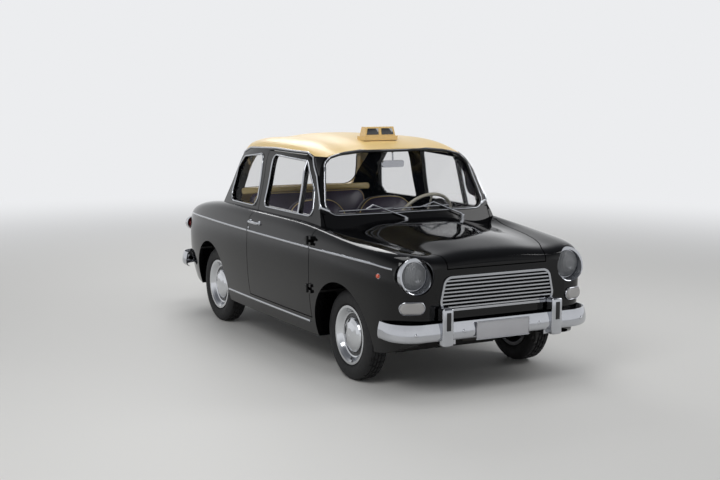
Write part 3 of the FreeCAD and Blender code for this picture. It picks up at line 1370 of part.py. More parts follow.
gearbox = doc.addObject("Part::Cylinder", "gearbox")
bind(gearbox, Radius=S.gearbox_radius, Height=S.engine_rear - S.gearbox_rear)
place(gearbox, 0, -S.engine_rear, S.shaft_height * 1.0, Rotation(Vector(1, 0, 0), -90))
shaft = doc.addObject("Part::Cylinder", "propeller_shaft")
bind(shaft, Radius=S.shaft_radius, Height=S.gearbox_rear + AXLE_REAR - S.differential_radius)
place(shaft, 0, -S.gearbox_rear, S.shaft_height * 1.0, Rotation(Vector(1, 0, 0), -90))
drive = doc.addObject("Part::MultiFuse", "driveline")
drive.Label = "driveline"
drive.Shapes = [gearbox, shaft]
parts["driveline"] = drive

# Exhaust and tank

pipe_x = -S.pipe_offset
exit_z = S.engine_foot + S.pipe_radius * 2
pipe_points = [Vector(-S.engine_half / 2, -S.engine_rear + free, exit_z),
               Vector(-S.engine_half / 2, S.gearbox_radius - S.engine_rear, exit_z),
               Vector(pipe_x, -S.gearbox_rear - S.gearbox_radius * 2, S.pipe_height),
               Vector(pipe_x, AXLE_REAR + S.differential_radius, S.pipe_height),
               Vector(pipe_x, AXLE_REAR + S.differential_radius * 1.8, S.silencer_height),
               Vector(pipe_x, S.tail_reach, S.silencer_height)]
path = tube_path(pipe_points, S.pipe_bend)
profile = Part.Wire(Part.makeCircle(S.pipe_radius, pipe_points[0], pipe_points[1] - pipe_points[0]))
pipe = path.makePipeShell([profile], True, False)
silencer = Part.makeCylinder(S.silencer_radius, S.silencer_length,
                             Vector(pipe_x, S.silencer_front, S.silencer_height), Vector(0, 1, 0))
hangers = []
for y, carrier, foot in ((-S.kick_place, S.floor_height, S.pipe_height), (S.kick_place / 2, S.floor_height, S.pipe_height),
                         (S.silencer_front + S.silencer_length / 2, S.boot_floor_height, S.silencer_height)):
    hangers.append(box(pipe_x - S.pipe_radius / 2, pipe_x + S.pipe_radius / 2, y, y + S.pipe_radius, foot,
                       carrier - free))
node("exhaust", solid_of(pipe.fuse([silencer] + hangers)))

tank = doc.addObject("Part::Box", "fuel_tank")
tank.Label = "fuel_tank"
bind(tank, Length=S.tank_width, Width=S.tank_length, Height=S.tank_tall)
place(tank, -S.tank_left, S.tank_front * 1.0, S.boot_floor_height - S.tank_tall - S.fit_gap)
parts["fuel_tank"] = tank

# Every object has to be sound before anything is written

doc.recompute()
for thing in doc.Objects:
    if "Invalid" in thing.State or "Error" in thing.State:
        raise RuntimeError(f"{thing.Label} is {thing.State}")
for label, piece in parts.items():
    if piece.Shape.isNull() or not piece.Shape.isValid() or not piece.Shape.Solids:
        raise RuntimeError(f"{label} has no sound solid")

os.makedirs("parts", exist_ok=True)
for label, piece in parts.items():
    piece.Shape.exportStep(f"parts/{label}.step")
print(len(parts), "sub-parts")
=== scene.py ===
"""A small two-door taxi saloon in black and cream enamel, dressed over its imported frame.

Every length is in metres unless its name ends in _mm. The nose points along -Y and the car's
left side lies at +X, as in the frame. An outline on the flank holds (y, z) points, one on the
nose or the tail holds (x, z) points, and a turned section holds (along the axis, radius) points.
"""

from __future__ import annotations

import json
import logging
import math
from dataclasses import dataclass
from enum import Enum
from typing import Callable, Iterable, Sequence

import bmesh
import bpy
from mathutils import Matrix, Vector
from mathutils.bvhtree import BVHTree

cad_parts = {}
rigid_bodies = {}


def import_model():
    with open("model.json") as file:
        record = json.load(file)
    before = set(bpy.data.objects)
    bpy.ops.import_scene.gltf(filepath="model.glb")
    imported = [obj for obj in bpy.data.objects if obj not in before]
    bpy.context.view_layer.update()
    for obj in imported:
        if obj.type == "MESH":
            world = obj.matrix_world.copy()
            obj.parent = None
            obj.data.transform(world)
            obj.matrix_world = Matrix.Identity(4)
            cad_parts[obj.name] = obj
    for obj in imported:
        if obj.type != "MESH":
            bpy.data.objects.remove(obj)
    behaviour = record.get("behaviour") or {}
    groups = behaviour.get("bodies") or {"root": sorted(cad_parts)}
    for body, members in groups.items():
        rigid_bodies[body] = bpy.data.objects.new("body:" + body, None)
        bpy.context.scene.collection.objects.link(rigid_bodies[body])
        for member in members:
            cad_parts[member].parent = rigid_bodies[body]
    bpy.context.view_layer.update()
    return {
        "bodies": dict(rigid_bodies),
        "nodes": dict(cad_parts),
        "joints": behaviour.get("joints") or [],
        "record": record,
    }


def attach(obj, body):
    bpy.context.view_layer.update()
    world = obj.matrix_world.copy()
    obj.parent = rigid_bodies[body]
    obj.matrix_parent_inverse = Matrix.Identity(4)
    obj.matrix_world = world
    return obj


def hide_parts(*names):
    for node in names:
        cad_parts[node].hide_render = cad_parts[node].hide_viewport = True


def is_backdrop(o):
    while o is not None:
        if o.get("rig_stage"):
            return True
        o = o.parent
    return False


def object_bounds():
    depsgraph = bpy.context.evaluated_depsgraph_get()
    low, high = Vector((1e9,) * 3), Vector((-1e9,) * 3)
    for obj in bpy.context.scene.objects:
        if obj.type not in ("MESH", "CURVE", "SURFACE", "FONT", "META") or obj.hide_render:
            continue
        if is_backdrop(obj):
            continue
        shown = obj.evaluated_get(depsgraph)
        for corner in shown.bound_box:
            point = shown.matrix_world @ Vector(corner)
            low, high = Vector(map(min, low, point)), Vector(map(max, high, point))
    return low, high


log = logging.getLogger("taxi")
Point2 = tuple[float, float]
Point3 = tuple[float, float, float]
Outline = tuple[Point2, ...]
Line = Sequence[Vector]
Piece = bpy.types.Object

ACROSS, ALONG, UP = Vector((1, 0, 0)), Vector((0, 1, 0)), Vector((0, 0, 1))
DOOR_FRONT = -0.696
DOOR_REAR = 0.216
AXLES = {"front": -1.050, "rear": 0.950}
TYRE_RADIUS = 0.264
TRACK_HALF = 0.575
SIDES = {"left": 1.0, "right": -1.0}
# Points closer than MERGE become one. What is below TINY counts as equal, and below NOUGHT as gone.
MERGE = 1e-5
TINY = 1e-6
NOUGHT = 1e-9


# Colour and finishes


def linear(code: str) -> tuple[float, float, float, float]:
    """Turns an sRGB hex value into the linear colour that the shader takes.

    Args:
        code: Six hex digits.

    Returns:
        Linear red, green, blue and an alpha of one.
    """
    steps = [int(code[i:i + 2], 16) / 255 for i in (0, 2, 4)]
    red, green, blue = (s / 12.92 if s <= 0.04045 else ((s + 0.055) / 1.055) ** 2.4 for s in steps)
    return red, green, blue, 1.0


def fill_inputs(tree: bpy.types.NodeTree, node: bpy.types.Node, inputs: dict) -> None:
    """Gives a node's inputs their values and links.

    Args:
        tree: The node tree.
        node: The node to fill.
        inputs: Values or output sockets, by the input's name or number.
    """
    for name, value in inputs.items():
        if isinstance(value, bpy.types.NodeSocket):
            tree.links.new(value, node.inputs[name])
        else:
            node.inputs[name].default_value = value


def add_node(tree: bpy.types.NodeTree, kind: str, settings: dict | None = None,
             inputs: dict | None = None) -> bpy.types.Node:
    """Adds a shader node with its settings, its values and its links.

    Args:
        tree: The material's node tree.
        kind: Blender's name of the node.
        settings: Attributes to set on the node.
        inputs: Values or output sockets for the node's inputs, by name or number.

    Returns:
        The new node.
    """
    node = tree.nodes.new(kind)
    for name, value in (settings or {}).items():
        setattr(node, name, value)
    fill_inputs(tree, node, inputs or {})
    return node


@dataclass
class Surface:
    """A new material with its nodes: the tree, the surface shader and the place on the piece."""

    material: bpy.types.Material
    tree: bpy.types.NodeTree
    shader: bpy.types.Node
    place: bpy.types.NodeSocket

    @classmethod
    def new(cls, name: str) -> Surface:
        """Starts a material.

        Args:
            name: The material's name.

        Returns:
            The material, ready to be given its values.
        """
        material = bpy.data.materials.new(name)
        material.use_nodes = True
        tree = material.node_tree
        place = add_node(tree, "ShaderNodeTexCoord").outputs["Object"]
        return cls(material, tree, tree.nodes["Principled BSDF"], place)

    def give(self, values: dict) -> None:
        """Gives the surface shader values or output sockets, by the names of its inputs."""
        fill_inputs(self.tree, self.shader, values)

    def show(self, shader: bpy.types.NodeSocket) -> None:
        """Shows another shader's output on the surface."""
        self.tree.links.new(shader, self.tree.nodes["Material Output"].inputs["Surface"])


@dataclass(frozen=True)
class Relief:
    """A fine relief from noise or from cells, sized in millimetres."""

    grain_mm: float
    height_mm: float
    strength: float = 0.4
    detail: float = 3.0
    cells: bool = False


@dataclass(frozen=True)
class Finish:
    """One finish of the car, from its real material and how its surface was made."""

    name: str
    colour: str
    roughness: float
    second: str = ""
    patch_mm: float = 240.0
    metallic: float = 0.0
    coat: float = 0.0
    coat_roughness: float = 0.03
    spread: float = 0.05
    ior: float = 1.5
    alpha: float = 1.0
    sheen: float = 0.0
    relief: Relief | None = None
    rib_mm: float = 0.0
    rib_axis: str = "X"
    rib_depth_mm: float = 0.0
    octaves: float = 4.0
    noise_roughness: float = 0.6
    noise_span: Point2 = (0.3, 0.7)
    wear_share: float = 0.4

    def make(self) -> bpy.types.Material:
        """Builds the finish.

        Returns:
            The material.
        """
        surface = Surface.new(self.name)
        surface.give({"Metallic": self.metallic, "IOR": self.ior, "Alpha": self.alpha,
                      "Coat Weight": self.coat, "Coat Roughness": self.coat_roughness,
                      "Sheen Weight": self.sheen})
        self._tint(surface)
        self._wear(surface)
        self._relief(surface)
        surface.material.diffuse_color = linear(self.colour)
        return surface.material

    def _tint(self, surface: Surface) -> None:
        """Gives the base colour, with a slow drift towards the second colour.

        Args:
            surface: The material to colour.
        """
        if not self.second:
            surface.give({"Base Color": linear(self.colour)})
            return
        cloud = add_node(surface.tree, "ShaderNodeTexNoise", {}, {
            "Vector": surface.place, "Scale": 1000 / self.patch_mm, "Detail": self.octaves,
            "Roughness": self.noise_roughness})
        mix = add_node(surface.tree, "ShaderNodeMix", {"data_type": "RGBA"}, {
            "Factor": cloud.outputs["Fac"], 6: linear(self.colour), 7: linear(self.second)})
        surface.give({"Base Color": mix.outputs[2]})

    def _wear(self, surface: Surface) -> None:
        """Gives a roughness that drifts a little, as handled and dusty surfaces have.

        Args:
            surface: The material to roughen.
        """
        if not self.spread:
            surface.give({"Roughness": self.roughness})
            return
        cloud = add_node(surface.tree, "ShaderNodeTexNoise", {}, {
            "Vector": surface.place, "Scale": 1000 / (self.patch_mm * self.wear_share),
            "Detail": self.octaves, "Roughness": self.noise_roughness})
        low, high = self.noise_span
        span = add_node(surface.tree, "ShaderNodeMapRange", {}, {
            "Value": cloud.outputs["Fac"], "From Min": low, "From Max": high,
            "To Min": max(self.roughness - self.spread, 0.0), "To Max": self.roughness + self.spread})
        surface.give({"Roughness": span.outputs["Result"]})

    def _relief(self, surface: Surface) -> None:
        """Gives grain and ribs as a bump.

        Args:
            surface: The material to emboss.
        """
        tree, heights = surface.tree, []
        if self.relief:
            kind = "ShaderNodeTexVoronoi" if self.relief.cells else "ShaderNodeTexNoise"
            values = {"Vector": surface.place, "Scale": 1000 / self.relief.grain_mm}
            if not self.relief.cells:
                values["Detail"] = self.relief.detail
            grain = add_node(tree, kind, {}, values)
            heights.append((grain.outputs[0], self.relief.height_mm / 1000, self.relief.strength))
        if self.rib_mm:
            # At a scale of one, the wave's bands lie pi / 10 apart.
            wave = add_node(tree, "ShaderNodeTexWave", {"bands_direction": self.rib_axis}, {
                "Vector": surface.place, "Scale": 1000 / self.rib_mm * math.pi / 10, "Distortion": 0.0})
            heights.append((wave.outputs["Fac"], self.rib_depth_mm / 1000, 1.0))
        bump = {}
        for socket, depth, strength in heights:
            node = add_node(tree, "ShaderNodeBump", {}, {
                "Height": socket, "Distance": depth, "Strength": strength, **bump})
            bump = {"Normal": node.outputs["Normal"]}
        surface.give(bump)


@dataclass(frozen=True)
class WheelFinish:
    """Dark stove enamel on the disc, with a plated cap and trim ring, told apart by radius.

    The plate gives a cool mirror at the hub and the rim, with a satin black band between them.
    """

    name: str
    axle: float
    cap_radius: float = 0.101
    ring_inner: float = 0.126
    plate_colour: str = "D3D5D8"
    plate_roughness: float = 0.12
    disc_colour: str = "2A2A2C"
    disc_roughness: float = 0.42
    disc_coat: float = 0.3
    disc_coat_roughness: float = 0.2

    def make(self) -> bpy.types.Material:
        """Builds the finish.

        Returns:
            The material.
        """
        surface = Surface.new(self.name)
        surface.give({"Base Color": linear(self.plate_colour), "Metallic": 1.0,
                      "Roughness": self.plate_roughness})
        tree = surface.tree
        enamel = add_node(tree, "ShaderNodeBsdfPrincipled", {}, {
            "Base Color": linear(self.disc_colour), "Roughness": self.disc_roughness,
            "Coat Weight": self.disc_coat, "Coat Roughness": self.disc_coat_roughness})
        centred = add_node(tree, "ShaderNodeVectorMath", {"operation": "SUBTRACT"},
                           {0: surface.place, 1: (0.0, self.axle, TYRE_RADIUS)})
        flat = add_node(tree, "ShaderNodeVectorMath", {"operation": "MULTIPLY"},
                        {0: centred.outputs[0], 1: (0.0, 1.0, 1.0)})
        radius = add_node(tree, "ShaderNodeVectorMath", {"operation": "LENGTH"},
                          {0: flat.outputs[0]}).outputs["Value"]
        past_cap = add_node(tree, "ShaderNodeMath", {"operation": "GREATER_THAN"},
                            {0: radius, 1: self.cap_radius})
        short_of_ring = add_node(tree, "ShaderNodeMath", {"operation": "LESS_THAN"},
                                 {0: radius, 1: self.ring_inner})
        disc = add_node(tree, "ShaderNodeMath", {"operation": "MULTIPLY"},
                        {0: past_cap.outputs[0], 1: short_of_ring.outputs[0]})
        surface.show(add_node(tree, "ShaderNodeMixShader", {}, {
            0: disc.outputs[0], 1: surface.shader.outputs[0], 2: enamel.outputs[0]}).outputs[0])
        return surface.material


class Look(Enum):
    """The car's finishes, each from its real material and the way its surface was made."""

    # Sprayed and stoved black enamel: a deep, wet black that mirrors the room without grain.
    BLACK_ENAMEL = Finish("black_stove_enamel", "030304", 0.07, second="050506", patch_mm=300,
                          spread=0.03, ior=1.4, octaves=1.0)
    # Stoved cream enamel, weathered by the sun: soft, wide highlights and a slight drift to straw.
    CREAM_ENAMEL = Finish("cream_stove_enamel", "EBCE90", 0.30, second="E5C583", patch_mm=420,
                          spread=0.0, octaves=0.0)
    # Brushed bitumen: flat and dark with dusty patches and a pebbled surface.
    UNDERBODY = Finish("bitumen_underbody_paint", "121212", 0.74, second="1E1C19", patch_mm=60,
                       relief=Relief(6.0, 0.7, 0.5))
    # Polished chrome over nickel: a cool mirror, hazed a little where hands and polish went.
    CHROME = Finish("bright_chrome_plate", "C6C8CC", 0.07, second="B4B6BB", metallic=1.0,
                    spread=0.045, patch_mm=90)
    # Moulded tyre rubber: dull near-black with a faint grey bloom and a fine mould grain.
    TYRE = Finish("vulcanised_tyre_rubber", "0E0E10", 0.72, second="171718", patch_mm=70,
                  relief=Relief(1.6, 0.12, 0.35))
    # Extruded rubber: black with a low, greasy shine.
    SEAL = Finish("extruded_rubber_seal", "0D0D0E", 0.5, relief=Relief(1.5, 0.05, 0.2))
    # Drawn and toughened glass: almost clear, seen by its reflections and a grey cast.
    PANE = Finish("tempered_window_glass", "10151A", 0.015, spread=0.01, alpha=0.08)
    # Pressed lamp glass over a bright bowl: milky grey with upright flutes that break the light.
    # The flutes are drawn at 9 mm, about twice the real pitch, so that they show.
    LAMP_GLASS = Finish("pressed_lamp_glass", "85878A", 0.1, second="77797C", patch_mm=30,
                        spread=0.03, alpha=0.93, rib_mm=9.0, rib_axis="X", rib_depth_mm=2.4)
    # Moulded clear lens: pale and slightly cloudy, ribbed across.
    CLEAR_LENS = Finish("clear_moulded_lens", "B7B5B3", 0.16, spread=0.04, alpha=0.9,
                        rib_mm=6.0, rib_axis="Z", rib_depth_mm=1.6)
    # Moulded red lens: deep red with a hard gloss over fine ribs.
    RED_LENS = Finish("red_moulded_lens", "8E0D0A", 0.12, spread=0.03, alpha=0.94, coat=1.0,
                      rib_mm=5.0, rib_axis="Z", rib_depth_mm=0.8)
    # Moulded orange-red lens: bright and glossy, so that it reads on black at a distance.
    AMBER_LENS = Finish("amber_moulded_lens", "D2460B", 0.14, spread=0.03, coat=1.0,
                        rib_mm=4.0, rib_axis="Y", rib_depth_mm=0.6)
    # Coated cloth with an embossed grain: dusky plum with a satin sheen on each swelling.
    # The real grain is near 0.6 mm and is drawn at 1.8 mm, so that it shows.
    VINYL = Finish("plum_seat_vinyl", "3F374C", 0.36, second="494057", patch_mm=150, coat=0.15,
                   coat_roughness=0.25, spread=0.07, relief=Relief(1.8, 0.12, 0.35, cells=True))
    # The same coated cloth in cream, a shade duller than the roof.
    CREAM_VINYL = Finish("cream_seat_vinyl", "E6CF93", 0.38, second="DCC384", patch_mm=120, coat=0.1,
                         spread=0.06, relief=Relief(1.8, 0.12, 0.35, cells=True))
    # Crackle enamel: black with a fine wrinkle that kills glare before the driver.
    DASH_PAINT = Finish("crackle_dash_enamel", "111114", 0.4, relief=Relief(2.2, 0.1, 0.3))
    # Pressed phenolic plastic: warm ivory, polished by hands.
    IVORY = Finish("ivory_phenolic_plastic", "DDD8CA", 0.2, second="D2CBB8", patch_mm=80, coat=0.5,
                   spread=0.05)
    # Bent acrylic sheet: an even cream with a clear skin.
    SIGN_CREAM = Finish("cream_acrylic", "E7C57F", 0.24, second="E0BC74", patch_mm=90, coat=0.6,
                        spread=0.0, octaves=0.0)
    # Smoked acrylic: black glass to the eye when the sign is unlit.
    DARK_PANE = Finish("smoked_acrylic", "0A0B0D", 0.08, coat=1.0, spread=0.03)
    # Pressed aluminium, painted grey: flat and pale with slight waves from the press.
    PLATE = Finish("blank_pressed_plate", "B9B9BC", 0.34, second="B0B0B4", patch_mm=60, spread=0.06,
                   relief=Relief(9.0, 0.15, 0.15))
    # Sand-cast iron with oil on it: grainy brown-black with dull glints.
    CAST_IRON = Finish("oiled_cast_iron", "2B2A29", 0.55, second="38342F", patch_mm=40, metallic=0.6,
                       relief=Relief(2.2, 0.3, 0.5))
    # Rolled steel left bare: mid grey with a brown film in patches.
    STEEL = Finish("dull_rolled_steel", "55565A", 0.45, second="45423E", patch_mm=50, metallic=0.9,
                   relief=Relief(1.2, 0.08, 0.3))
    # Woven carpet: near-black, no highlight, a nap that lightens at the edge of sight.
    CARPET = Finish("woven_floor_carpet", "1B1A1D", 0.92, second="242227", patch_mm=40, sheen=0.3,
                    relief=Relief(2.6, 1.1, 0.8))
    # Perforated coated cloth: matt, dusty cream with a fine dimple.
    LINING = Finish("perforated_headlining", "CFC4A6", 0.7, second="C6BA9A", patch_mm=60,
                    relief=Relief(3.0, 0.3, 0.4, cells=True))
    # Stacked brass fins, blackened: dark with fine upright lines behind the bars. The real fins
    # stand near 2 mm apart and are drawn at 3.5 mm, so that they show.
    CORE = Finish("blackened_radiator_core", "0B0B0B", 0.6, metallic=0.5, rib_mm=3.5, rib_axis="X",
                  rib_depth_mm=2.0)


NODE_LOOKS = {
    Look.BLACK_ENAMEL: ("fender_left", "fender_right", "nose_panel", "hood", "windscreen_frame",
                        "quarter_left", "quarter_right", "tail_panels", "boot_lid", "door_left", "door_right",
                        "sills"),
    Look.CREAM_ENAMEL: ("roof",),
    Look.CHROME: ("grille", "bumper_front", "bumper_rear", "headlamps", "wipers", "mirror"),
    Look.PANE: ("windscreen", "rear_window", "side_windows", "door_glass_left", "door_glass_right"),
    Look.LAMP_GLASS: ("headlamp_lenses",),
    Look.CLEAR_LENS: ("turn_signals",),
    Look.RED_LENS: ("tail_lamps",),
    Look.UNDERBODY: ("floor_pan", "front_suspension", "fuel_tank"),
    Look.STEEL: ("knuckle_left", "knuckle_right", "rear_axle", "exhaust"),
    Look.CAST_IRON: ("engine", "driveline"),
    Look.DASH_PAINT: ("dashboard",),
    Look.IVORY: ("steering_wheel",),
    Look.SIGN_CREAM: ("roof_sign",),
    Look.VINYL: ("front_seats", "rear_seat"),
    Look.TYRE: tuple(f"tyre_{end}_{side}" for end in AXLES for side in SIDES),
}


# Modelling by hand


def deselect() -> None:
    """Leaves nothing selected and no mode open."""
    if bpy.context.object and bpy.context.object.mode != "OBJECT":
        bpy.ops.object.mode_set(mode="OBJECT")
    bpy.ops.object.select_all(action="DESELECT")


def select_only(piece: Piece) -> None:
    """Makes one piece the only selected and active one.

    Args:
        piece: The piece.
    """
    deselect()
    piece.select_set(True)
    bpy.context.view_layer.objects.active = piece


def face_outwards(piece: Piece, merge: float = 0.0) -> None:
    """Merges a mesh's doubles and turns its faces outwards.

    Args:
        piece: The piece.
        merge: Points closer than this become one, if it isn't nought.
    """
    select_only(piece)
    bpy.ops.object.mode_set(mode="EDIT")
    bpy.ops.mesh.select_all(action="SELECT")
    if merge:
        bpy.ops.mesh.remove_doubles(threshold=merge)
    bpy.ops.mesh.normals_make_consistent(inside=False)
    bpy.ops.object.mode_set(mode="OBJECT")


def pick_faces(test: Callable[[bmesh.types.BMFace], bool]) -> None:
    """Selects the faces of the mesh in edit mode that pass a test.

    Args:
        test: Says whether a face is wanted.
    """
    mesh = bmesh.from_edit_mesh(bpy.context.object.data)
    mesh.select_mode = {"FACE"}
    for face in mesh.faces:
        face.select_set(bool(test(face)))
    mesh.select_flush_mode()
    bmesh.update_edit_mesh(bpy.context.object.data)


def apply_all(piece: Piece) -> None:
    """Applies a piece's modifiers and its place, so that its mesh holds both.

    Args:
        piece: The piece.
    """
    select_only(piece)
    for modifier in list(piece.modifiers):
        bpy.ops.object.modifier_apply(modifier=modifier.name)
    bpy.ops.object.transform_apply(location=True, rotation=True, scale=True)


def add_modifier(piece: Piece, kind: str, **settings: object) -> None:
    """Adds a modifier with its settings.

    Args:
        piece: The piece.
        kind: Blender's name of the modifier.
        settings: What is set on it.
    """
    modifier = piece.modifiers.new(kind.lower(), kind)
    for name, value in settings.items():
        setattr(modifier, name, value)


def block(low: Iterable[float], high: Iterable[float], edge: float, rounds: int = 3) -> Piece:
    """A block between two corners with rounded edges.

    Args:
        low: Lowest corner.
        high: Highest corner.
        edge: Radius of its edges.
        rounds: Segments across an edge.

    Returns:
        The block.
    """
    low, high = Vector(low), Vector(high)
    deselect()
    bpy.ops.mesh.primitive_cube_add(size=1.0, location=(low + high) / 2)
    piece = bpy.context.object
    piece.scale = high - low
    apply_all(piece)
    add_modifier(piece, "BEVEL", width=edge, segments=rounds, limit_method="NONE")
    apply_all(piece)
    return piece


def turned(section: Sequence[Point2], centre: Vector, axis: Vector, steps: int) -> Piece:
    """Spins a closed section about an axis.

    Args:
        section: Its (along, radius) points.
        centre: Foot of the axis.
        axis: Direction of the axis.
        steps: Steps round the full turn.

    Returns:
        The turned piece, with its faces pointing outwards.
    """
    side = axis.orthogonal().normalized()
    deselect()
    bpy.ops.mesh.primitive_plane_add(size=1.0, location=(0, 0, 0))
    piece = bpy.context.object
    bpy.ops.object.mode_set(mode="EDIT")
    mesh = bmesh.from_edit_mesh(piece.data)
    bmesh.ops.delete(mesh, geom=list(mesh.verts), context="VERTS")
    ring = [(mesh.verts.new(centre + axis * along + side * radius), radius) for along, radius in section]
    for (first, near), (second, far) in zip(ring, ring[1:] + ring[:1]):
        if max(near, far) > TINY:
            mesh.edges.new((first, second))
    bmesh.update_edit_mesh(piece.data)
    bpy.ops.mesh.select_all(action="SELECT")
    bpy.ops.mesh.spin(steps=steps, angle=2 * math.pi, center=centre, axis=axis)
    face_outwards(piece, MERGE)
    return piece


def strip(points: Line, across: float, out: float, closed: bool = False, sides: int = 3) -> Piece:
    """A bar of oval section along a line of points.

    Args:
        points: The line.
        across: Half the section's height, up the car.
        out: Half the section's depth, off the car.
        closed: Joins the last point to the first.
        sides: Smoothness of the section.

    Returns:
        The bar as a mesh.
    """
    deselect()
    bpy.ops.curve.primitive_bezier_circle_add(radius=1.0, location=(0, 0, 0))
    section = bpy.context.object
    section.scale = (out, across, 1.0)
    section.data.resolution_u = sides
    bpy.ops.object.transform_apply(location=False, rotation=False, scale=True)
    deselect()
    bpy.ops.curve.primitive_nurbs_path_add(location=(0, 0, 0))
    bar = bpy.context.object
    bar.data.splines.clear()
    spline = bar.data.splines.new("POLY")
    spline.points.add(len(points) - 1)
    for knot, point in zip(spline.points, points):
        knot.co = (*point, 1.0)
    spline.use_cyclic_u = closed
    bar.data.dimensions = "3D"
    bar.data.twist_mode = "Z_UP"
    bar.data.bevel_mode = "OBJECT"
    bar.data.bevel_object = section
    bar.data.use_fill_caps = not closed
    select_only(bar)
    bpy.ops.object.convert(target="MESH")
    bar = bpy.context.object
    bpy.data.objects.remove(section)
    face_outwards(bar, MERGE)
    return bar


def rod(radius: float, *points: Iterable[float]) -> Piece:
    """A round bar through some points.

    Args:
        radius: Its radius.
        points: Where it bends.

    Returns:
        The bar as a mesh.
    """
    return strip([Vector(point) for point in points], radius, radius)


def joined(pieces: Sequence[Piece]) -> Piece:
    """Joins pieces into the first of them.

    Args:
        pieces: The pieces.

    Returns:
        The first, which holds them all.
    """
    deselect()
    for piece in pieces:
        piece.select_set(True)
    bpy.context.view_layer.objects.active = pieces[0]
    if len(pieces) > 1:
        bpy.ops.object.join()
    return pieces[0]


def copied(piece: Piece) -> Piece:
    """Copies a piece, with a mesh of its own.

    Args:
        piece: The piece.

    Returns:
        The copy, which is the active piece.
    """
    select_only(piece)
    bpy.ops.object.duplicate(linked=False)
    return bpy.context.object


def mirrored_copy(piece: Piece) -> Piece:
    """Copies a piece to the other side of the car.

    Args:
        piece: The piece.

    Returns:
        Its mirror image.
    """
    twin = copied(piece)
    twin.scale.x = -1.0
    bpy.ops.object.transform_apply(location=False, rotation=False, scale=True)
    face_outwards(twin)
    return twin


def rounded_loop(corners: Sequence[Point2], radius: float, grow: float, gap: float,
                 bends: int = 6) -> list[Point2]:
    """Points round a polygon with rounded corners, moved outwards.

    Args:
        corners: The polygon.
        radius: Radius of its corners before it grows.
        grow: How far it moves outwards.
        gap: Longest run between two points.
        bends: Steps round each corner.

    Returns:
        The points in order.
    """
    area = sum(a[0] * b[1] - b[0] * a[1] for a, b in zip(corners, [*corners[1:], corners[0]]))
    ring = list(corners) if area > 0 else list(reversed(corners))
    arc = []
    for i, corner in enumerate(ring):
        here = Vector(corner)
        into = (here - Vector(ring[i - 1])).normalized()
        out = (Vector(ring[(i + 1) % len(ring)]) - here).normalized()
        turn = into.angle(out)
        normal = Vector((into.y, -into.x))
        centre = here - into * radius * math.tan(turn / 2) - normal * radius
        for step in range(bends + 1):
            spoke = Matrix.Rotation(turn * step / bends, 2) @ normal
            arc.append(centre + spoke * (radius + grow))
    points = []
    for first, second in zip(arc, arc[1:] + arc[:1]):
        parts = max(1, math.ceil((second - first).length / gap))
        points += [tuple(first.lerp(second, k / parts)) for k in range(parts)]
    return points


def box_corners(low: Point2, high: Point2) -> Outline:
    """Corners of an upright rectangle.

    Args:
        low: Its lowest corner.
        high: Its highest corner.

    Returns:
        The four corners in order.
    """
    return low, (high[0], low[1]), high, (low[0], high[1])


class Skin:
    """The outer skin of some of the frame's nodes, found by rays."""

    outside = Vector((1.2, 2.4, 2.0))
    cabin = 0.30

    def __init__(self, frame: dict, *names: str) -> None:
        """Reads the nodes.

        Args:
            names: The nodes' names.
        """
        graph = bpy.context.evaluated_depsgraph_get()
        self.trees = [BVHTree.FromObject(frame["nodes"][name], graph) for name in names]

    def hit(self, start: Vector, run: Vector) -> tuple[Vector, Vector] | None:
        """Finds what a ray meets first.

        Args:
            start: Where the ray starts.
            run: Its direction.

        Returns:
            The nearest point and its normal, or nothing.
        """
        best = None
        for tree in self.trees:
            spot, normal, _, reach = tree.ray_cast(start, run)
            if spot is not None and (best is None or reach < best[2]):
                best = (spot, normal, reach)
        return None if best is None else best[:2]

    def flank(self, y: float, z: float) -> tuple[Vector, Vector] | None:
        """Point and normal of the left side at a place along and up the car."""
        return self.hit(Vector((self.outside.x, y, z)), -ACROSS)

    def side(self, y: float, z: float, off: float) -> Vector | None:
        """A point off the left side at a place along and up the car."""
        found = self.flank(y, z)
        return found and found[0] + found[1] * off

    def end(self, x: float, z: float, back: bool = False) -> tuple[Vector, Vector] | None:
        """Point and normal of the front, or of the back, at a place across and up the car."""
        sign = 1.0 if back else -1.0
        return self.hit(Vector((x, sign * self.outside.y, z)), ALONG * -sign)

    def front(self, x: float, z: float, off: float, back: bool = False) -> Vector | None:
        """A point off the front, or off the back, at a place across and up the car."""
        found = self.end(x, z, back)
        return found and found[0] + found[1] * off

    def lining(self, y: float, z: float) -> float | None:
        """How far out the left inner wall lies, seen from the cabin."""
        found = self.hit(Vector((self.cabin, y, z)), ACROSS)
        return found and found[0].x

    def loop(self, outline: Iterable[Point2], off: float, back: bool) -> list[Vector]:
        """A closed line off the front or the back.

        Args:
            outline: Its (x, z) points.
            off: How far off the skin it lies.
            back: Whether it lies on the back.

        Returns:
            The points that the skin holds.
        """
        points = (self.front(x, z, off, back) for x, z in outline)
        return [point for point in points if point is not None]


def line_at(table: Sequence[Point2], place: float) -> float:
    """Height of a line of (place, height) points.

    Args:
        table: The points, in order of place.
        place: Where the height is wanted.

    Returns:
        The height between the two nearest points.
    """
    for (a, low), (b, high) in zip(table, table[1:]):
        if place <= b:
            share = min(max((place - a) / (b - a), 0.0), 1.0)
            return low + (high - low) * share
    return table[-1][1]


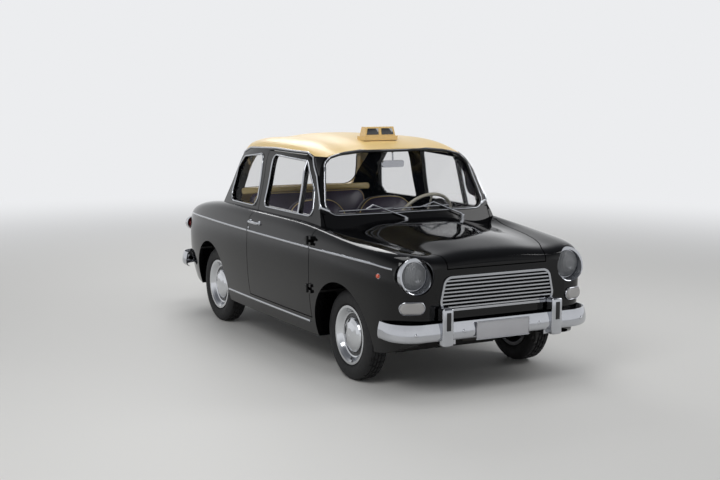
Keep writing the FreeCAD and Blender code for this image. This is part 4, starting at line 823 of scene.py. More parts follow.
class Workshop:
    """Keeps the frame and the finishes, and hands over each finished piece."""

    def __init__(self, frame: dict) -> None:
        """Makes every finish once.
        """
        self.frame = frame
        self.made = {look: look.value.make() for look in Look}
        self.count = 0

    def skin(self, *names: str) -> Skin:
        """Outer skin of some nodes."""
        return Skin(self.frame, *names)

    def paint(self, material: bpy.types.Material, *names: str) -> None:
        """Gives nodes of the frame a material.

        Args:
            material: The material.
            names: The nodes' names.
        """
        for name in names:
            for place in self.frame["nodes"][name].material_slots:
                place.material = material

    def deliver(self, piece: Piece, name: str, body: str, slot: str, look: Look,
                angle: float = 40.0) -> Piece:
        """Finishes a piece and lets it ride on its body.

        Args:
            piece: The piece, modelled in place.
            name: Its name.
            body: The body that carries it.
            slot: Not used.
            look: Its finish.
            angle: Edges sharper than this many degrees stay sharp.

        Returns:
            The piece.
        """
        apply_all(piece)
        piece.name = name
        piece.data.name = name
        piece.data.materials.clear()
        piece.data.materials.append(self.made[look])
        bpy.ops.object.shade_smooth_by_angle(angle=math.radians(angle))
        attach(piece, body)
        self.count += 1
        log.info("%s rides on %s", name, body)
        return piece

    def pair(self, piece: Piece, name: str, body: str, slot: str, look: Look, angle: float = 40.0) -> None:
        """Delivers a left piece and its mirror image.

        Args:
            piece: The left piece, modelled in place.
            name: Name of both, to which each side is added.
            body: The body, where SIDE stands for each side.
            slot: The record's slot of their material.
            look: Their finish.
            angle: Edges sharper than this many degrees stay sharp.
        """
        twin = mirrored_copy(piece)
        for side, each in (("left", piece), ("right", twin)):
            self.deliver(each, f"{name}_{side}", body.replace("SIDE", side), slot, look, angle)

    def chrome(self, piece: Piece, name: str, body: str = "root") -> Piece:
        """Delivers one plated piece."""
        return self.deliver(piece, name, body, "chrome", Look.CHROME)

    def chrome_pair(self, piece: Piece, name: str, body: str = "root") -> None:
        """Delivers a plated left piece and its mirror image."""
        self.pair(piece, name, body, "chrome", Look.CHROME)


@dataclass(frozen=True)
class Cushion:
    """A stuffed, sewn pad: half sizes, how full it stands and where its channels are sewn.

    Its own axes are across the car, along the pad and out of its face. A place on its cover is
    (a, b), each from -1 to 1, and its ring is the larger of both. The cover is pinned at its
    seams and blown up by a cloth simulation, so that it swells between them.
    """

    half: Point2
    thick: float
    corner: float
    edge: float
    crown: float
    pinch: float = 0.004
    channels: int = 0
    cells: tuple[int, int] = (28, 28)
    edge_cells: int = 9
    edge_crowding: float = 1.7
    panel: float = 0.80
    dome: float = 0.0
    seam: float = 0.003
    pinned: Point2 = (0.94, 0.97)
    swell: float = 0.011
    pressure: float = 5.0
    frames: int = 20

    def stations(self, cells: int) -> list[float]:
        """Places of the cover's rows, close together on the rolled edge.

        Args:
            cells: Cells across the flat panel.

        Returns:
            The places from -1 to 1.
        """
        outer = [1 - (1 - self.panel) * (k / self.edge_cells) ** self.edge_crowding
                 for k in range(self.edge_cells)]
        inner = [-self.panel + 2 * self.panel * k / cells for k in range(cells + 1)]
        return [-v for v in outer] + inner + outer[::-1]

    def outline(self, ring: float, a: float, b: float) -> Point2:
        """Place of a point on its ring of the rounded outline.

        Args:
            ring: The point's ring.
            a: Its place across.
            b: Its place along.

        Returns:
            Its distances from the pad's middle, across and along.
        """
        half_x, half_y = self.half
        x, y = a * half_x, b * half_y
        radius = min(self.corner, half_x, half_y) * ring
        core_x = max(-(ring * half_x - radius), min(ring * half_x - radius, x))
        core_y = max(-(ring * half_y - radius), min(ring * half_y - radius, y))
        away = Vector((x - core_x, y - core_y))
        if away.length > NOUGHT:
            away = away.normalized() * radius
        x, y = core_x + away.x, core_y + away.y
        pull = self.pinch * ring ** 6
        x -= math.copysign(pull * (1 - (y / half_y) ** 2), x) if abs(a) >= abs(b) else 0.0
        y -= math.copysign(pull * (1 - (x / half_x) ** 2), y) if abs(b) > abs(a) else 0.0
        y -= self.dome * (x / half_x) ** 2 * max(0.0, b)
        return x, y

    def height(self, ring: float, a: float, b: float, front: bool) -> float:
        """Height of the cover from the pad's middle plane.

        Args:
            ring: The point's ring.
            a: Its place across.
            b: Its place along.
            front: Whether it is on the face or on the back.

        Returns:
            The height, below nought on the back.
        """
        share = min((1 - ring) * min(self.half) / self.edge, 1.0)
        rise = self.thick / 2 * math.sqrt(max(0.0, 1 - (1 - share) ** 2))
        if not front:
            return -rise
        return rise + self.crown * (1 - a * a) * (1 - b * b) - (self.seam if self.sewn(a, b) else 0.0)

    def sewn(self, a: float, b: float) -> bool:
        """Whether a point lies on a seam of the face.

        Args:
            a: Its place across.
            b: Its place along.

        Returns:
            True on the panel's edge and between two channels.
        """
        if not self.channels:
            return False
        ring = max(abs(a), abs(b))
        place = (a + self.panel) * self.channels / (2 * self.panel)
        return abs(ring - self.panel) < TINY or (ring < self.panel and abs(place - round(place)) < TINY)

    def point(self, place: Matrix, a: float, b: float, front: bool, proud: float = 0.0) -> Vector:
        """A point of the cover in the car's frame.

        Args:
            place: Puts the pad's own axes into the car's frame.
            a: Its place across.
            b: Its place along.
            front: Whether it is on the face or on the back.
            proud: How far it stands off the cover.

        Returns:
            The point.
        """
        ring = max(abs(a), abs(b))
        x, y = self.outline(ring, a, b)
        return place @ Vector((x, y, self.height(ring, a, b, front) + (proud if front else -proud)))

    def build(self, place: Matrix) -> Piece:
        """Builds the pad.

        Args:
            place: Puts the pad's own axes into the car's frame.

        Returns:
            The pad as a closed mesh.
        """
        across, along = (self.stations(cells) for cells in self.cells)
        sides = []
        for front in (True, False):
            deselect()
            bpy.ops.mesh.primitive_grid_add(
                x_subdivisions=len(across) - 1, y_subdivisions=len(along) - 1, size=2.0)
            side = bpy.context.object
            seams = side.vertex_groups.new(name="seams")
            for vertex in side.data.vertices:
                a = across[round((vertex.co.x + 1) / 2 * (len(across) - 1))]
                b = along[round((vertex.co.y + 1) / 2 * (len(along) - 1))]
                vertex.co = self.point(place, a, b, front)
                if not front or self.sewn(a, b) or self.pinned[0] < max(abs(a), abs(b)) < self.pinned[1]:
                    seams.add([vertex.index], 1.0, "REPLACE")
            sides.append(side)
        pad = joined(sides)
        face_outwards(pad, MERGE * 10)
        self.inflate(pad)
        return pad

    def inflate(self, pad: Piece) -> None:
        """Blows the cover up between its seams by cloth simulation, at most by the swell.

        Args:
            pad: The pad, with its seams as a vertex group.
        """
        rest = [vertex.co.copy() for vertex in pad.data.vertices]
        cloth = pad.modifiers.new("cover", "CLOTH")
        for name, value in {
                "quality": 4, "mass": 0.4, "tension_stiffness": 12.0, "compression_stiffness": 12.0,
                "bending_stiffness": 1.5, "use_pressure": True, "uniform_pressure_force": self.pressure,
                "vertex_group_mass": "seams"}.items():
            setattr(cloth.settings, name, value)
        cloth.settings.effector_weights.gravity = 0.0
        cloth.point_cache.frame_start = 1
        cloth.point_cache.frame_end = self.frames
        scene = bpy.context.scene
        for frame in range(1, self.frames + 1):
            scene.frame_set(frame)
        blown = pad.evaluated_get(bpy.context.evaluated_depsgraph_get())
        moves = [blown.data.vertices[k].co - co for k, co in enumerate(rest)]
        pad.modifiers.remove(cloth)
        scene.frame_set(1)
        for vertex, co, move in zip(pad.data.vertices, rest, moves):
            reach = move.length
            if reach > NOUGHT:
                vertex.co = co + move * (self.swell * math.tanh(reach / self.swell) / reach)
        log.info("pad swelled %.1f mm", max(move.length for move in moves) * 1000)
        pad.vertex_groups.clear()

    def piping(self, place: Matrix, radius: float, ring: float = 0.955, steps: int = 40) -> Piece:
        """Cord sewn round the face's edge.

        Args:
            place: Puts the pad's own axes into the car's frame.
            radius: Radius of the cord.
            ring: Ring of the cover that it lies on.
            steps: Points along each side.

        Returns:
            The cord as a mesh.
        """
        marks = [k / steps * 2 - 1 for k in range(steps)]
        square = ([(m, -1.0) for m in marks] + [(1.0, m) for m in marks]
                  + [(-m, 1.0) for m in marks] + [(-1.0, -m) for m in marks])
        points = [self.point(place, a * ring, b * ring, True, radius / 2) for a, b in square]
        return strip(points, radius, radius, closed=True, sides=2)


# The car's pieces


@dataclass
class Bodywork:
    """Enamel, glass and metal of the frame's own nodes."""

    shop: Workshop

    def build(self) -> None:
        """Gives each node its finish."""
        for look, names in NODE_LOOKS.items():
            self.shop.paint(self.shop.made[look], *names)
        for end, axle in AXLES.items():
            finish = WheelFinish(f"plated_wheel_{end}", axle).make()
            self.shop.paint(finish, *(f"wheel_{end}_{side}" for side in SIDES))


@dataclass
class BrightTrim:
    """Plated strips on the flanks and roof, and the frames round the windows."""

    shop: Workshop
    waist: Outline = ((-1.548, 0.722), (-1.40, 0.735), (-1.10, 0.742), (0.0, 0.743),
                      (1.00, 0.742), (1.35, 0.736), (1.52, 0.722), (1.59, 0.706))
    waist_half: float = 0.0065
    waist_step: float = 0.03
    strip_out: float = 0.004
    strip_off: float = 0.001
    door_gap: float = 0.002
    panel_gap: float = 0.008
    sill_height: float = 0.286
    sill_ends: Point2 = (-0.668, 0.612)
    sill_half: float = 0.007
    sill_step: float = 0.06
    rail: Outline = ((-0.640, 0.940), (-0.510, 1.146), (-0.383, 1.256), (-0.296, 1.282), (0.142, 1.286),
                     (0.560, 1.268), (0.674, 1.225), (0.845, 1.042), (0.965, 0.880))
    rail_section: Point2 = (0.006, 0.005)
    rail_step: float = 0.03
    rail_off: float = 0.003
    pillar_section: Point2 = (0.012, 0.004)
    door_window: Outline = ((0.1339, 0.9124), (-0.5437, 0.9124), (-0.5118, 1.0592), (-0.3485, 1.2279),
                            (0.1111, 1.2417))
    quarter_window: Outline = ((0.2634, 0.9028), (0.7668, 0.8973), (0.7039, 1.1196), (0.6082, 1.2019),
                               (0.2762, 1.2389))
    window_round: float = 0.020
    door_bend: float = 0.036
    quarter_bend: float = 0.058
    frame_radius: float = 0.0055
    frame_grow: float = 0.005
    frame_step: float = 0.012
    edge_grow: float = 0.007
    edge_step: float = 0.02
    depth_blur: float = 1e-8
    gasket_grow: float = 0.008
    gasket_step: float = 0.01
    gasket_sink: float = 0.0015
    gasket_thick: float = 0.003
    screen: Outline = ((0.572, 0.926), (0.512, 1.216), (0.4675, 1.2538), (0.3978, 1.2713), (0.2386, 1.286))
    back: Outline = ((0.470, 0.946), (0.426, 1.186), (0.389, 1.2076), (0.331, 1.2176), (0.1985, 1.226))
    screen_round: float = 0.060
    screen_step: float = 0.04
    seal_grow: float = 0.006
    seal_radius: float = 0.009
    bead_grow: float = 0.009
    bead_radius: float = 0.004
    bead_off: float = 0.006
    vent_foot: Point2 = (-0.3677, 0.905)
    vent_head: Point2 = (-0.3431, 1.236)
    vent_radius: float = 0.007
    vent_off: float = 0.002
    vent_parts: int = 8

    def build(self) -> None:
        """Builds all the plated trim."""
        self.waist_strips()
        self.sill_strips()
        self.drip_rails()
        self.window_frames()
        self.screen_seals()
        self.vent_posts()

    @staticmethod
    def follow(skin: Skin, table: Sequence[Point2], ends: Point2, step: float, off: float) -> list[Vector]:
        """Points that follow a line over the left flank.

        Args:
            skin: The flank.
            table: The line's (y, z) points.
            ends: Where it starts and ends along the car.
            step: Run between two points.
            off: How far off the skin it lies.

        Returns:
            The points that the skin holds.
        """
        start, end = ends
        count = max(2, round((end - start) / step))
        places = [start + (end - start) * k / count for k in range(count + 1)]
        points = (skin.side(y, line_at(table, y), off) for y in places)
        return [point for point in points if point is not None]

    @staticmethod
    def eased(points: Line, axis: int, reach: int = 3) -> list[Vector]:
        """A closed line with its steps along one axis averaged out.

        Args:
            points: The line.
            axis: Number of the axis: 0 across the car, 1 along it.
            reach: Points on each side that share in a point's average.

        Returns:
            The line with its other two places kept.
        """
        count = len(points)
        line = [point.copy() for point in points]
        for k, point in enumerate(line):
            shared = [points[(k + n) % count][axis] for n in range(-reach, reach + 1)]
            point[axis] = sum(shared) / len(shared)
        return line

    def waist_strips(self) -> None:
        """The long strip below the windows, one length on each panel."""
        for node, body, start, end in (
                ("fender_left", "root", self.waist[0][0], DOOR_FRONT - self.panel_gap),
                ("door_left", "door_SIDE", DOOR_FRONT + self.door_gap, DOOR_REAR - self.door_gap),
                ("quarter_left", "root", DOOR_REAR + self.panel_gap, self.waist[-1][0])):
            points = self.follow(self.shop.skin(node), self.waist, (start, end), self.waist_step,
                                 self.strip_off)
            bar = strip(points, self.waist_half, self.strip_out)
            self.shop.chrome_pair(bar, f"waist_strip_{node.split('_')[0]}", body)

    def sill_strips(self) -> None:
        """The strip along the foot of the doors."""
        table = [(y, self.sill_height) for y in self.sill_ends]
        points = self.follow(self.shop.skin("sills"), table, self.sill_ends, self.sill_step, self.strip_off)
        self.shop.chrome_pair(strip(points, self.sill_half, self.strip_out), "sill_strip")

    def drip_rails(self) -> None:
        """The gutter between the cream roof and the black sides."""
        skin = self.shop.skin("windscreen_frame", "quarter_left", "roof", "door_left")
        points = []
        for (y0, z0), (y1, z1) in zip(self.rail, self.rail[1:]):
            parts = max(1, round(math.hypot(y1 - y0, z1 - z0) / self.rail_step))
            for share in (k / parts for k in range(parts)):
                points.append(skin.side(y0 + (y1 - y0) * share, z0 + (z1 - z0) * share, self.rail_off))
        points = [point for point in points if point is not None]
        self.shop.chrome_pair(strip(points, *self.rail_section), "drip_rail")
        pillar = [point for point in points if point.y < self.rail[2][0]]
        self.shop.chrome_pair(strip(pillar, *self.pillar_section), "pillar_strip")

    def window_frames(self) -> None:
        """Plated frames round the side windows, rounder than the openings, with rubber between."""
        for outline, part, body, bend in (
                (self.door_window, "door", "door_SIDE", self.door_bend),
                (self.quarter_window, "quarter", "root", self.quarter_bend)):
            skin = self.shop.skin(f"{part}_left")
            loop = rounded_loop(outline, self.window_round, self.edge_grow, self.edge_step)
            edge = [point for point in (skin.side(y, z, 0.0) for y, z in loop) if point is not None]
            inner = self.eased([self.on_edge(edge, y, z) for y, z in rounded_loop(
                outline, bend, self.frame_grow, self.frame_step)], 0)
            frame = strip(inner, self.frame_radius, self.frame_radius, closed=True)
            self.shop.chrome_pair(frame, f"window_frame_{part}", body)
            self.shop.pair(self.gasket(outline, inner, edge), f"window_gasket_{part}", body,
                           "rubber_black", Look.SEAL)

    def on_edge(self, edge: Line, y: float, z: float) -> Vector:
        """A point in the window's plane, as deep as the nearest points of its edge.

        Args:
            edge: Points of the panel round the opening.
            y: Place along the car.
            z: Place up the car.

        Returns:
            The point, just off the panel.
        """
        weights = [1 / ((point.y - y) ** 2 + (point.z - z) ** 2 + self.depth_blur) ** 2 for point in edge]
        depth = sum(w * point.x for w, point in zip(weights, edge)) / sum(weights)
        return Vector((depth + self.strip_off, y, z))

    def gasket(self, outline: Sequence[Point2], inner: Line, edge: Line) -> Piece:
        """Rubber between the plated frame and the opening, which fills the corners.

        Args:
            outline: Corners of the opening.
            inner: Middle line of the plated frame.
            edge: Points of the panel round the opening.

        Returns:
            The rubber as a thin band.
        """
        middle = sum((Vector(p) for p in outline), Vector((0, 0))) / len(outline)
        border = [Vector(p) for p in rounded_loop(
            outline, self.window_round, self.gasket_grow, self.gasket_step)]
        sink = ACROSS * self.gasket_sink
        mesh = bmesh.new()
        rungs = []
        for point in inner:
            way = (Vector((point.y, point.z)) - middle).normalized()
            far = max(border, key=lambda spot: (spot - middle).normalized().dot(way))
            rungs.append((mesh.verts.new(point - sink),
                          mesh.verts.new(self.on_edge(edge, far.x, far.y) - sink)))
        for first, second in zip(rungs, rungs[1:] + rungs[:1]):
            mesh.faces.new((first[0], second[0], second[1], first[1]))
        bmesh.ops.recalc_face_normals(mesh, faces=mesh.faces)
        data = bpy.data.meshes.new("gasket")
        mesh.to_mesh(data)
        mesh.free()
        band = bpy.data.objects.new("gasket", data)
        bpy.context.collection.objects.link(band)
        add_modifier(band, "SOLIDIFY", thickness=self.gasket_thick, offset=0.0)
        return band

    def screen_seals(self) -> None:
        """Rubber seals round both screens, each with a bright bead let in."""
        for name, nodes, back, half in (
                ("windscreen", ("windscreen_frame", "roof"), False, self.screen),
                ("rear_window", ("roof",), True, self.back)):
            skin = self.shop.skin(*nodes)
            outline = [(-half[0][0], half[0][1]), *half, *((-x, z) for x, z in reversed(half[1:]))]
            for part, grow, radius, off, slot, look in (
                    ("seal", self.seal_grow, self.seal_radius, 0.0, "rubber_black", Look.SEAL),
                    ("bead", self.bead_grow, self.bead_radius, self.bead_off, "chrome", Look.CHROME)):
                loop = rounded_loop(outline, self.screen_round, grow, self.screen_step)
                ring = strip(self.eased(skin.loop(loop, off, back), 1), radius, radius, closed=True)
                self.shop.deliver(ring, f"{name}_{part}", "root", slot, look)

    def vent_posts(self) -> None:
        """Plated post between the vent and the door's glass."""
        skin = self.shop.skin("door_left")
        foot, head = Vector(self.vent_foot), Vector(self.vent_head)
        places = [foot.lerp(head, k / self.vent_parts) for k in range(self.vent_parts + 1)]
        points = [skin.side(place.x, place.y, self.vent_off) for place in places]
        post = strip([p for p in points if p is not None], self.vent_radius, self.vent_radius)
        self.shop.chrome_pair(post, "vent_post", "door_SIDE")


@dataclass
class Lamps:
    """Side markers on the front wings, and the bezels of the side and tail lamps."""

    shop: Workshop
    marker: Point2 = (-1.455, 0.674)
    marker_steps: int = 32
    base_section: Outline = ((0.0, 0.0), (0.0, 0.016), (0.003, 0.015), (0.004, 0.0))
    base_sink: float = 0.001
    lens_section: Outline = ((0.0, 0.0), (0.0, 0.0125), (0.006, 0.011), (0.010, 0.006), (0.0112, 0.0))
    lens_off: float = 0.003
    signal: Point3 = (0.540, -1.606, 0.510)
    signal_half: Point2 = (0.068, 0.032)
    signal_round: float = 0.0315
    signal_grow: float = 0.002
    signal_step: float = 0.012
    signal_turn: float = 22.0
    signal_off: float = 0.004
    signal_reach: float = 0.3
    bezel_section: Point2 = (0.004, 0.006)
    cup_place: float = 0.012
    cup_section: Outline = ((-0.030, 0.001), (-0.030, 0.006), (0.010, 0.007), (0.014, 0.004), (0.011, 0.001))
    cup_steps: int = 48

    def build(self) -> None:
        """Builds the lamps' pieces."""
        self.markers()
        self.side_bezels()
        self.tail_bezels()

    def markers(self) -> None:
        """A small lens on a plated base on each wing."""
        spot, normal = self.shop.skin("fender_left").flank(*self.marker)
        base = turned(self.base_section, spot - normal * self.base_sink, normal, self.marker_steps)
        self.shop.chrome_pair(base, "marker_base")
        lens = turned(self.lens_section, spot + normal * self.lens_off, normal, self.marker_steps)
        self.shop.pair(lens, "marker_lens", "root", "lens_red", Look.AMBER_LENS)

    def side_bezels(self) -> None:
        """A plated ring round each side lamp, laid on the wing round the lamp's turned face."""
        skin = self.shop.skin("fender_left")
        turn = Matrix.Rotation(math.radians(self.signal_turn), 4, "Z")
        wide, high = self.signal_half
        points = []
        for x, z in rounded_loop(box_corners((-wide, -high), (wide, high)), self.signal_round,
                                 self.signal_grow, self.signal_step):
            found = skin.hit(Vector(self.signal) + turn @ Vector((x, -self.signal_reach, z)), turn @ ALONG)
            if found:
                points.append(found[0] - turn @ ALONG * self.signal_off)
        self.shop.chrome_pair(strip(points, *self.bezel_section, closed=True), "side_lamp_bezel")

    def tail_bezels(self) -> None:
        """A plated cup round each tail lamp."""
        lamp = [v.co for v in self.shop.frame["nodes"]["tail_lamps"].data.vertices if v.co.x > 0]
        low, high = (Vector(pick(co[k] for co in lamp) for k in range(3)) for pick in (min, max))
        radius = (high.z - low.z) / 2
        centre = Vector(((low.x + high.x) / 2, low.y + self.cup_place, (low.z + high.z) / 2))
        section = [(along, radius + out) for along, out in self.cup_section]
        self.shop.chrome_pair(turned(section, centre, ALONG, self.cup_steps), "tail_lamp_bezel")


@dataclass
class Plates:
    """Blank number plates in their frames."""

    shop: Workshop
    low: Point2 = (-0.178, 0.317)
    high: Point2 = (0.178, 0.416)
    face: float = 1.7065
    thick: float = 0.003
    edge: float = 0.001
    frame_round: float = 0.004
    frame_radius: float = 0.003
    frame_step: float = 0.4

    def build(self) -> None:
        """Builds both plates."""
        for end, sign in (("front", -1.0), ("rear", 1.0)):
            face, inner = self.face * sign, (self.face - self.thick) * sign
            plate = block((self.low[0], min(face, inner), self.low[1]),
                          (self.high[0], max(face, inner), self.high[1]), self.edge, rounds=2)
            self.shop.deliver(plate, f"plate_{end}", "root", "chrome", Look.PLATE)
            loop = [Vector((x, face, z)) for x, z in rounded_loop(
                box_corners(self.low, self.high), self.frame_round, 0.0, self.frame_step)]
            rim = strip(loop, self.frame_radius, self.frame_radius, closed=True, sides=2)
            self.shop.chrome(rim, f"plate_frame_{end}")


@dataclass
class Wheels:
    """Tyres with a cut tread in place of the plain ones."""

    shop: Workshop
    wall: Outline = ((-0.0475, 0.1605), (-0.0478, 0.1785), (-0.058, 0.186), (-0.0635, 0.200), (-0.065, 0.215),
                     (-0.0638, 0.231), (-0.059, 0.246), (-0.054, 0.2545), (-0.048, 0.2595))
    ribs: tuple[Point3, ...] = ((-0.046, -0.024, 0.0012), (-0.019, -0.003, 0.0003), (0.003, 0.019, 0.0003),
                                (0.024, 0.046, 0.0012))
    rib_edge: float = 0.0008
    groove: float = 0.006
    shoulder: float = 0.2605
    steps: int = 108
    sipe_every: int = 3
    sipe_shift: float = 1.5
    sipe_wall: float = 0.0012
    sipe_depth: float = 0.004
    facing: float = 0.2

    def section(self) -> list[Point2]:
        """Section of the tyre, from the inner bead round the tread to the outer bead."""
        tread = []
        for low, high, drop in self.ribs:
            crown = TYRE_RADIUS - drop
            tread += [(low, crown - self.groove), (low + self.rib_edge, crown), (high - self.rib_edge, crown),
                      (high, crown - self.groove)]
        tread[0] = (tread[0][0], self.shoulder)
        tread[-1] = (tread[-1][0], self.shoulder)
        return [*self.wall, *tread, *((-x, r) for x, r in reversed(self.wall))]

    def sipe(self, face: bmesh.types.BMFace) -> bool:
        """Whether a face of the tread is cut.

        Args:
            face: A face of the tyre.

        Returns:
            True for every third face round the tread, with the inner half shifted.
        """
        middle = face.calc_center_median()
        if math.hypot(middle.y, middle.z) < self.shoulder or face.normal.x ** 2 > self.facing:
            return False
        turn = math.atan2(middle.z, middle.y) / (2 * math.pi) * self.steps
        return math.floor(turn + (self.sipe_shift if middle.x > 0 else 0.0)) % self.sipe_every == 0

    def build(self) -> None:
        """Builds one tyre, cuts its tread, and copies it to the four wheels."""
        tyre = turned(self.section(), Vector(), ACROSS, self.steps)
        bpy.ops.object.mode_set(mode="EDIT")
        pick_faces(self.sipe)
        bpy.ops.mesh.inset(thickness=self.sipe_wall, depth=-self.sipe_depth, use_individual=True)
        bpy.ops.object.mode_set(mode="OBJECT")
        for end, axle in AXLES.items():
            for side, sign in SIDES.items():
                copy = copied(tyre)
                copy.location = (TRACK_HALF * sign, axle, TYRE_RADIUS)
                body = f"wheel_{end}_{side}"
                self.shop.deliver(copy, f"treaded_tyre_{end}_{side}", body, "tyre", Look.TYRE, angle=30)
                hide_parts(f"tyre_{end}_{side}")
        bpy.data.objects.remove(tyre)


@dataclass
class Seats:
    """Two front seats and the rear bench, stuffed and covered, on their runners.

    Each pad's place is (y, z, tilt): a lying pad's front is raised by its tilt, and an upright
    pad leans back by it.
    """

    shop: Workshop
    seat_x: float = 0.268
    front_pad: Cushion = Cushion((0.230, 0.224), 0.100, 0.075, 0.048, 0.016, channels=6, cells=(48, 24))
    front_back: Cushion = Cushion((0.226, 0.272), 0.094, 0.120, 0.046, 0.014, dome=0.045)
    bench_pad: Cushion = Cushion((0.466, 0.212), 0.118, 0.060, 0.052, 0.018, channels=12, cells=(96, 24))
    bench_back: Cushion = Cushion((0.462, 0.246), 0.100, 0.070, 0.048, 0.014, cells=(48, 24))
    bench_roll: Cushion = Cushion((0.520, 0.024), 0.060, 0.022, 0.022, 0.003, cells=(48, 6))
    front_pad_place: Point3 = (-0.100, 0.434, -0.02)
    front_back_place: Point3 = (0.092, 0.677, 0.205)
    bench_pad_place: Point3 = (0.560, 0.396, -0.03)
    bench_back_place: Point3 = (0.746, 0.688, 0.150)
    bench_roll_place: Point3 = (0.790, 0.944, 0.150)
    cord_radius: float = 0.0032
    soft_angle: float = 60.0
    plinth: tuple[Point3, Point3] = ((-0.46, 0.362, 0.3115), (0.46, 0.830, 0.345))
    plinth_edge: float = 0.008
    leg_spread: float = 0.150
    runner: tuple[Point3, Point3] = ((-0.014, -0.290, 0.2326), (0.014, 0.080, 0.250))
    runner_edge: float = 0.003
    leg: Outline = ((-0.270, 0.252), (-0.285, 0.300), (-0.270, 0.352), (-0.235, 0.376), (-0.10, 0.380),
                    (0.02, 0.376), (0.055, 0.352), (0.062, 0.300), (0.050, 0.252))
    leg_radius: float = 0.011
    rungs: Outline = ((-0.235, 0.378), (0.020, 0.378))
    rung_radius: float = 0.010

    @staticmethod
    def lying(x: float, place: Point3) -> Matrix:
        """Place of a pad that lies face up."""
        return Matrix.Translation((x, *place[:2])) @ Matrix.Rotation(place[2], 4, "X")

    @staticmethod
    def upright(x: float, place: Point3) -> Matrix:
        """Place of a pad that stands face forwards."""
        return Matrix.Translation((x, *place[:2])) @ Matrix.Rotation(math.pi / 2 - place[2], 4, "X")

    def pad(self, cushion: Cushion, place: Matrix, name: str, look: Look = Look.VINYL) -> Piece:
        """Delivers one pad.

        Args:
            cushion: Its sizes.
            place: Its place in the car's frame.
            name: Its name.
            look: Its cover.

        Returns:
            The pad.
        """
        piece = self.shop.deliver(cushion.build(place), name, "root", "seat_vinyl", look, self.soft_angle)
        return piece

    def corded(self, cushion: Cushion, place: Matrix, name: str) -> Piece:
        """Delivers one pad with a cream cord round its face.

        Args:
            cushion: Its sizes.
            place: Its place in the car's frame.
            name: Its name.

        Returns:
            The pad.
        """
        piece = self.pad(cushion, place, name)
        stem, _, side = name.rpartition("_")
        cord_name = f"{stem}_piping_{side}" if side in SIDES else f"{name}_piping"
        self.shop.deliver(cushion.piping(place, self.cord_radius), cord_name, "root", "seat_vinyl",
                          Look.CREAM_VINYL, self.soft_angle)
        return piece

    def build(self) -> None:
        """Builds all seats."""
        for side, sign in SIDES.items():
            x = self.seat_x * sign
            self.corded(self.front_pad, self.lying(x, self.front_pad_place), f"seat_pad_{side}")
            self.corded(self.front_back, self.upright(x, self.front_back_place), f"seat_back_{side}")
            self.frame(x, side)
        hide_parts("front_seats")
        bench = self.corded(self.bench_pad, self.lying(0.0, self.bench_pad_place), "bench_pad")
        self.corded(self.bench_back, self.upright(0.0, self.bench_back_place), "bench_back")
        self.pad(self.bench_roll, self.upright(0.0, self.bench_roll_place), "bench_roll", Look.CREAM_VINYL)
        plinth = block(*self.plinth, self.plinth_edge)
        self.shop.deliver(plinth, "bench_plinth", "root", "seat_vinyl", Look.CARPET)
        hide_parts("rear_seat")

    def frame(self, x: float, side: str) -> None:
        """Runners on the floor and the bent tube frame of one front seat.

        Args:
            x: Middle of the seat.
            side: Its side of the car.
        """
        parts = []
        for middle in (x - self.leg_spread, x + self.leg_spread):
            shift = ACROSS * middle
            parts.append(block(*(Vector(corner) + shift for corner in self.runner), self.runner_edge))
            parts.append(rod(self.leg_radius, *((middle, y, z) for y, z in self.leg)))
        for y, z in self.rungs:
            parts.append(rod(self.rung_radius, (x - self.leg_spread, y, z), (x + self.leg_spread, y, z)))
        self.shop.deliver(joined(parts), f"seat_frame_{side}", "root", "seat_vinyl", Look.STEEL)


@dataclass
class Nose:
    """Radiator core behind the bars, shells and buffers of the guards, bolts of the bumper."""

    shop: Workshop
    core: tuple[Point3, Point3] = ((-0.372, -1.618, 0.486), (0.372, -1.596, 0.690))
    core_edge: float = 0.003
    shell: tuple[Point3, Point3] = ((0.333, -1.720, 0.295), (0.405, -1.653, 0.509))
    shell_edge: float = 0.014
    buffer: tuple[Point3, Point3] = ((0.355, -1.7235, 0.385), (0.383, -1.716, 0.487))
    buffer_edge: float = 0.003
    bolts: Outline = ((0.255, 0.372), (0.560, 0.372))
    bolt_section: Outline = ((-0.001, 0.0), (-0.001, 0.011), (0.002, 0.0105), (0.005, 0.007), (0.0062, 0.0))
    bolt_steps: int = 24

    def build(self) -> None:
        """Builds the nose's pieces, and the same guards on the tail."""
        core = block(*self.core, self.core_edge)
        self.shop.deliver(core, "radiator_core", "root", "chassis_black", Look.CORE)
        for end in ("front", "rear"):
            shell = block(*self.shell, self.shell_edge, rounds=5)
            buffer = block(*self.buffer, self.buffer_edge, rounds=4)
            if end == "rear":
                self.turn_about(shell)
                self.turn_about(buffer)
            self.shop.chrome_pair(shell, f"guard_shell_{end}")
            self.shop.pair(buffer, f"guard_buffer_{end}", "root", "rubber_black", Look.SEAL)
        skin = self.shop.skin("bumper_front")
        heads = [turned(self.bolt_section, *skin.end(x, z), self.bolt_steps) for x, z in self.bolts]
        self.shop.chrome_pair(joined(heads), "bumper_bolts")

    @staticmethod
    def turn_about(piece: Piece) -> None:
        """Mirrors a piece of the nose to the tail."""
        for vertex in piece.data.vertices:
            vertex.co.y = -vertex.co.y
        piece.data.flip_normals()


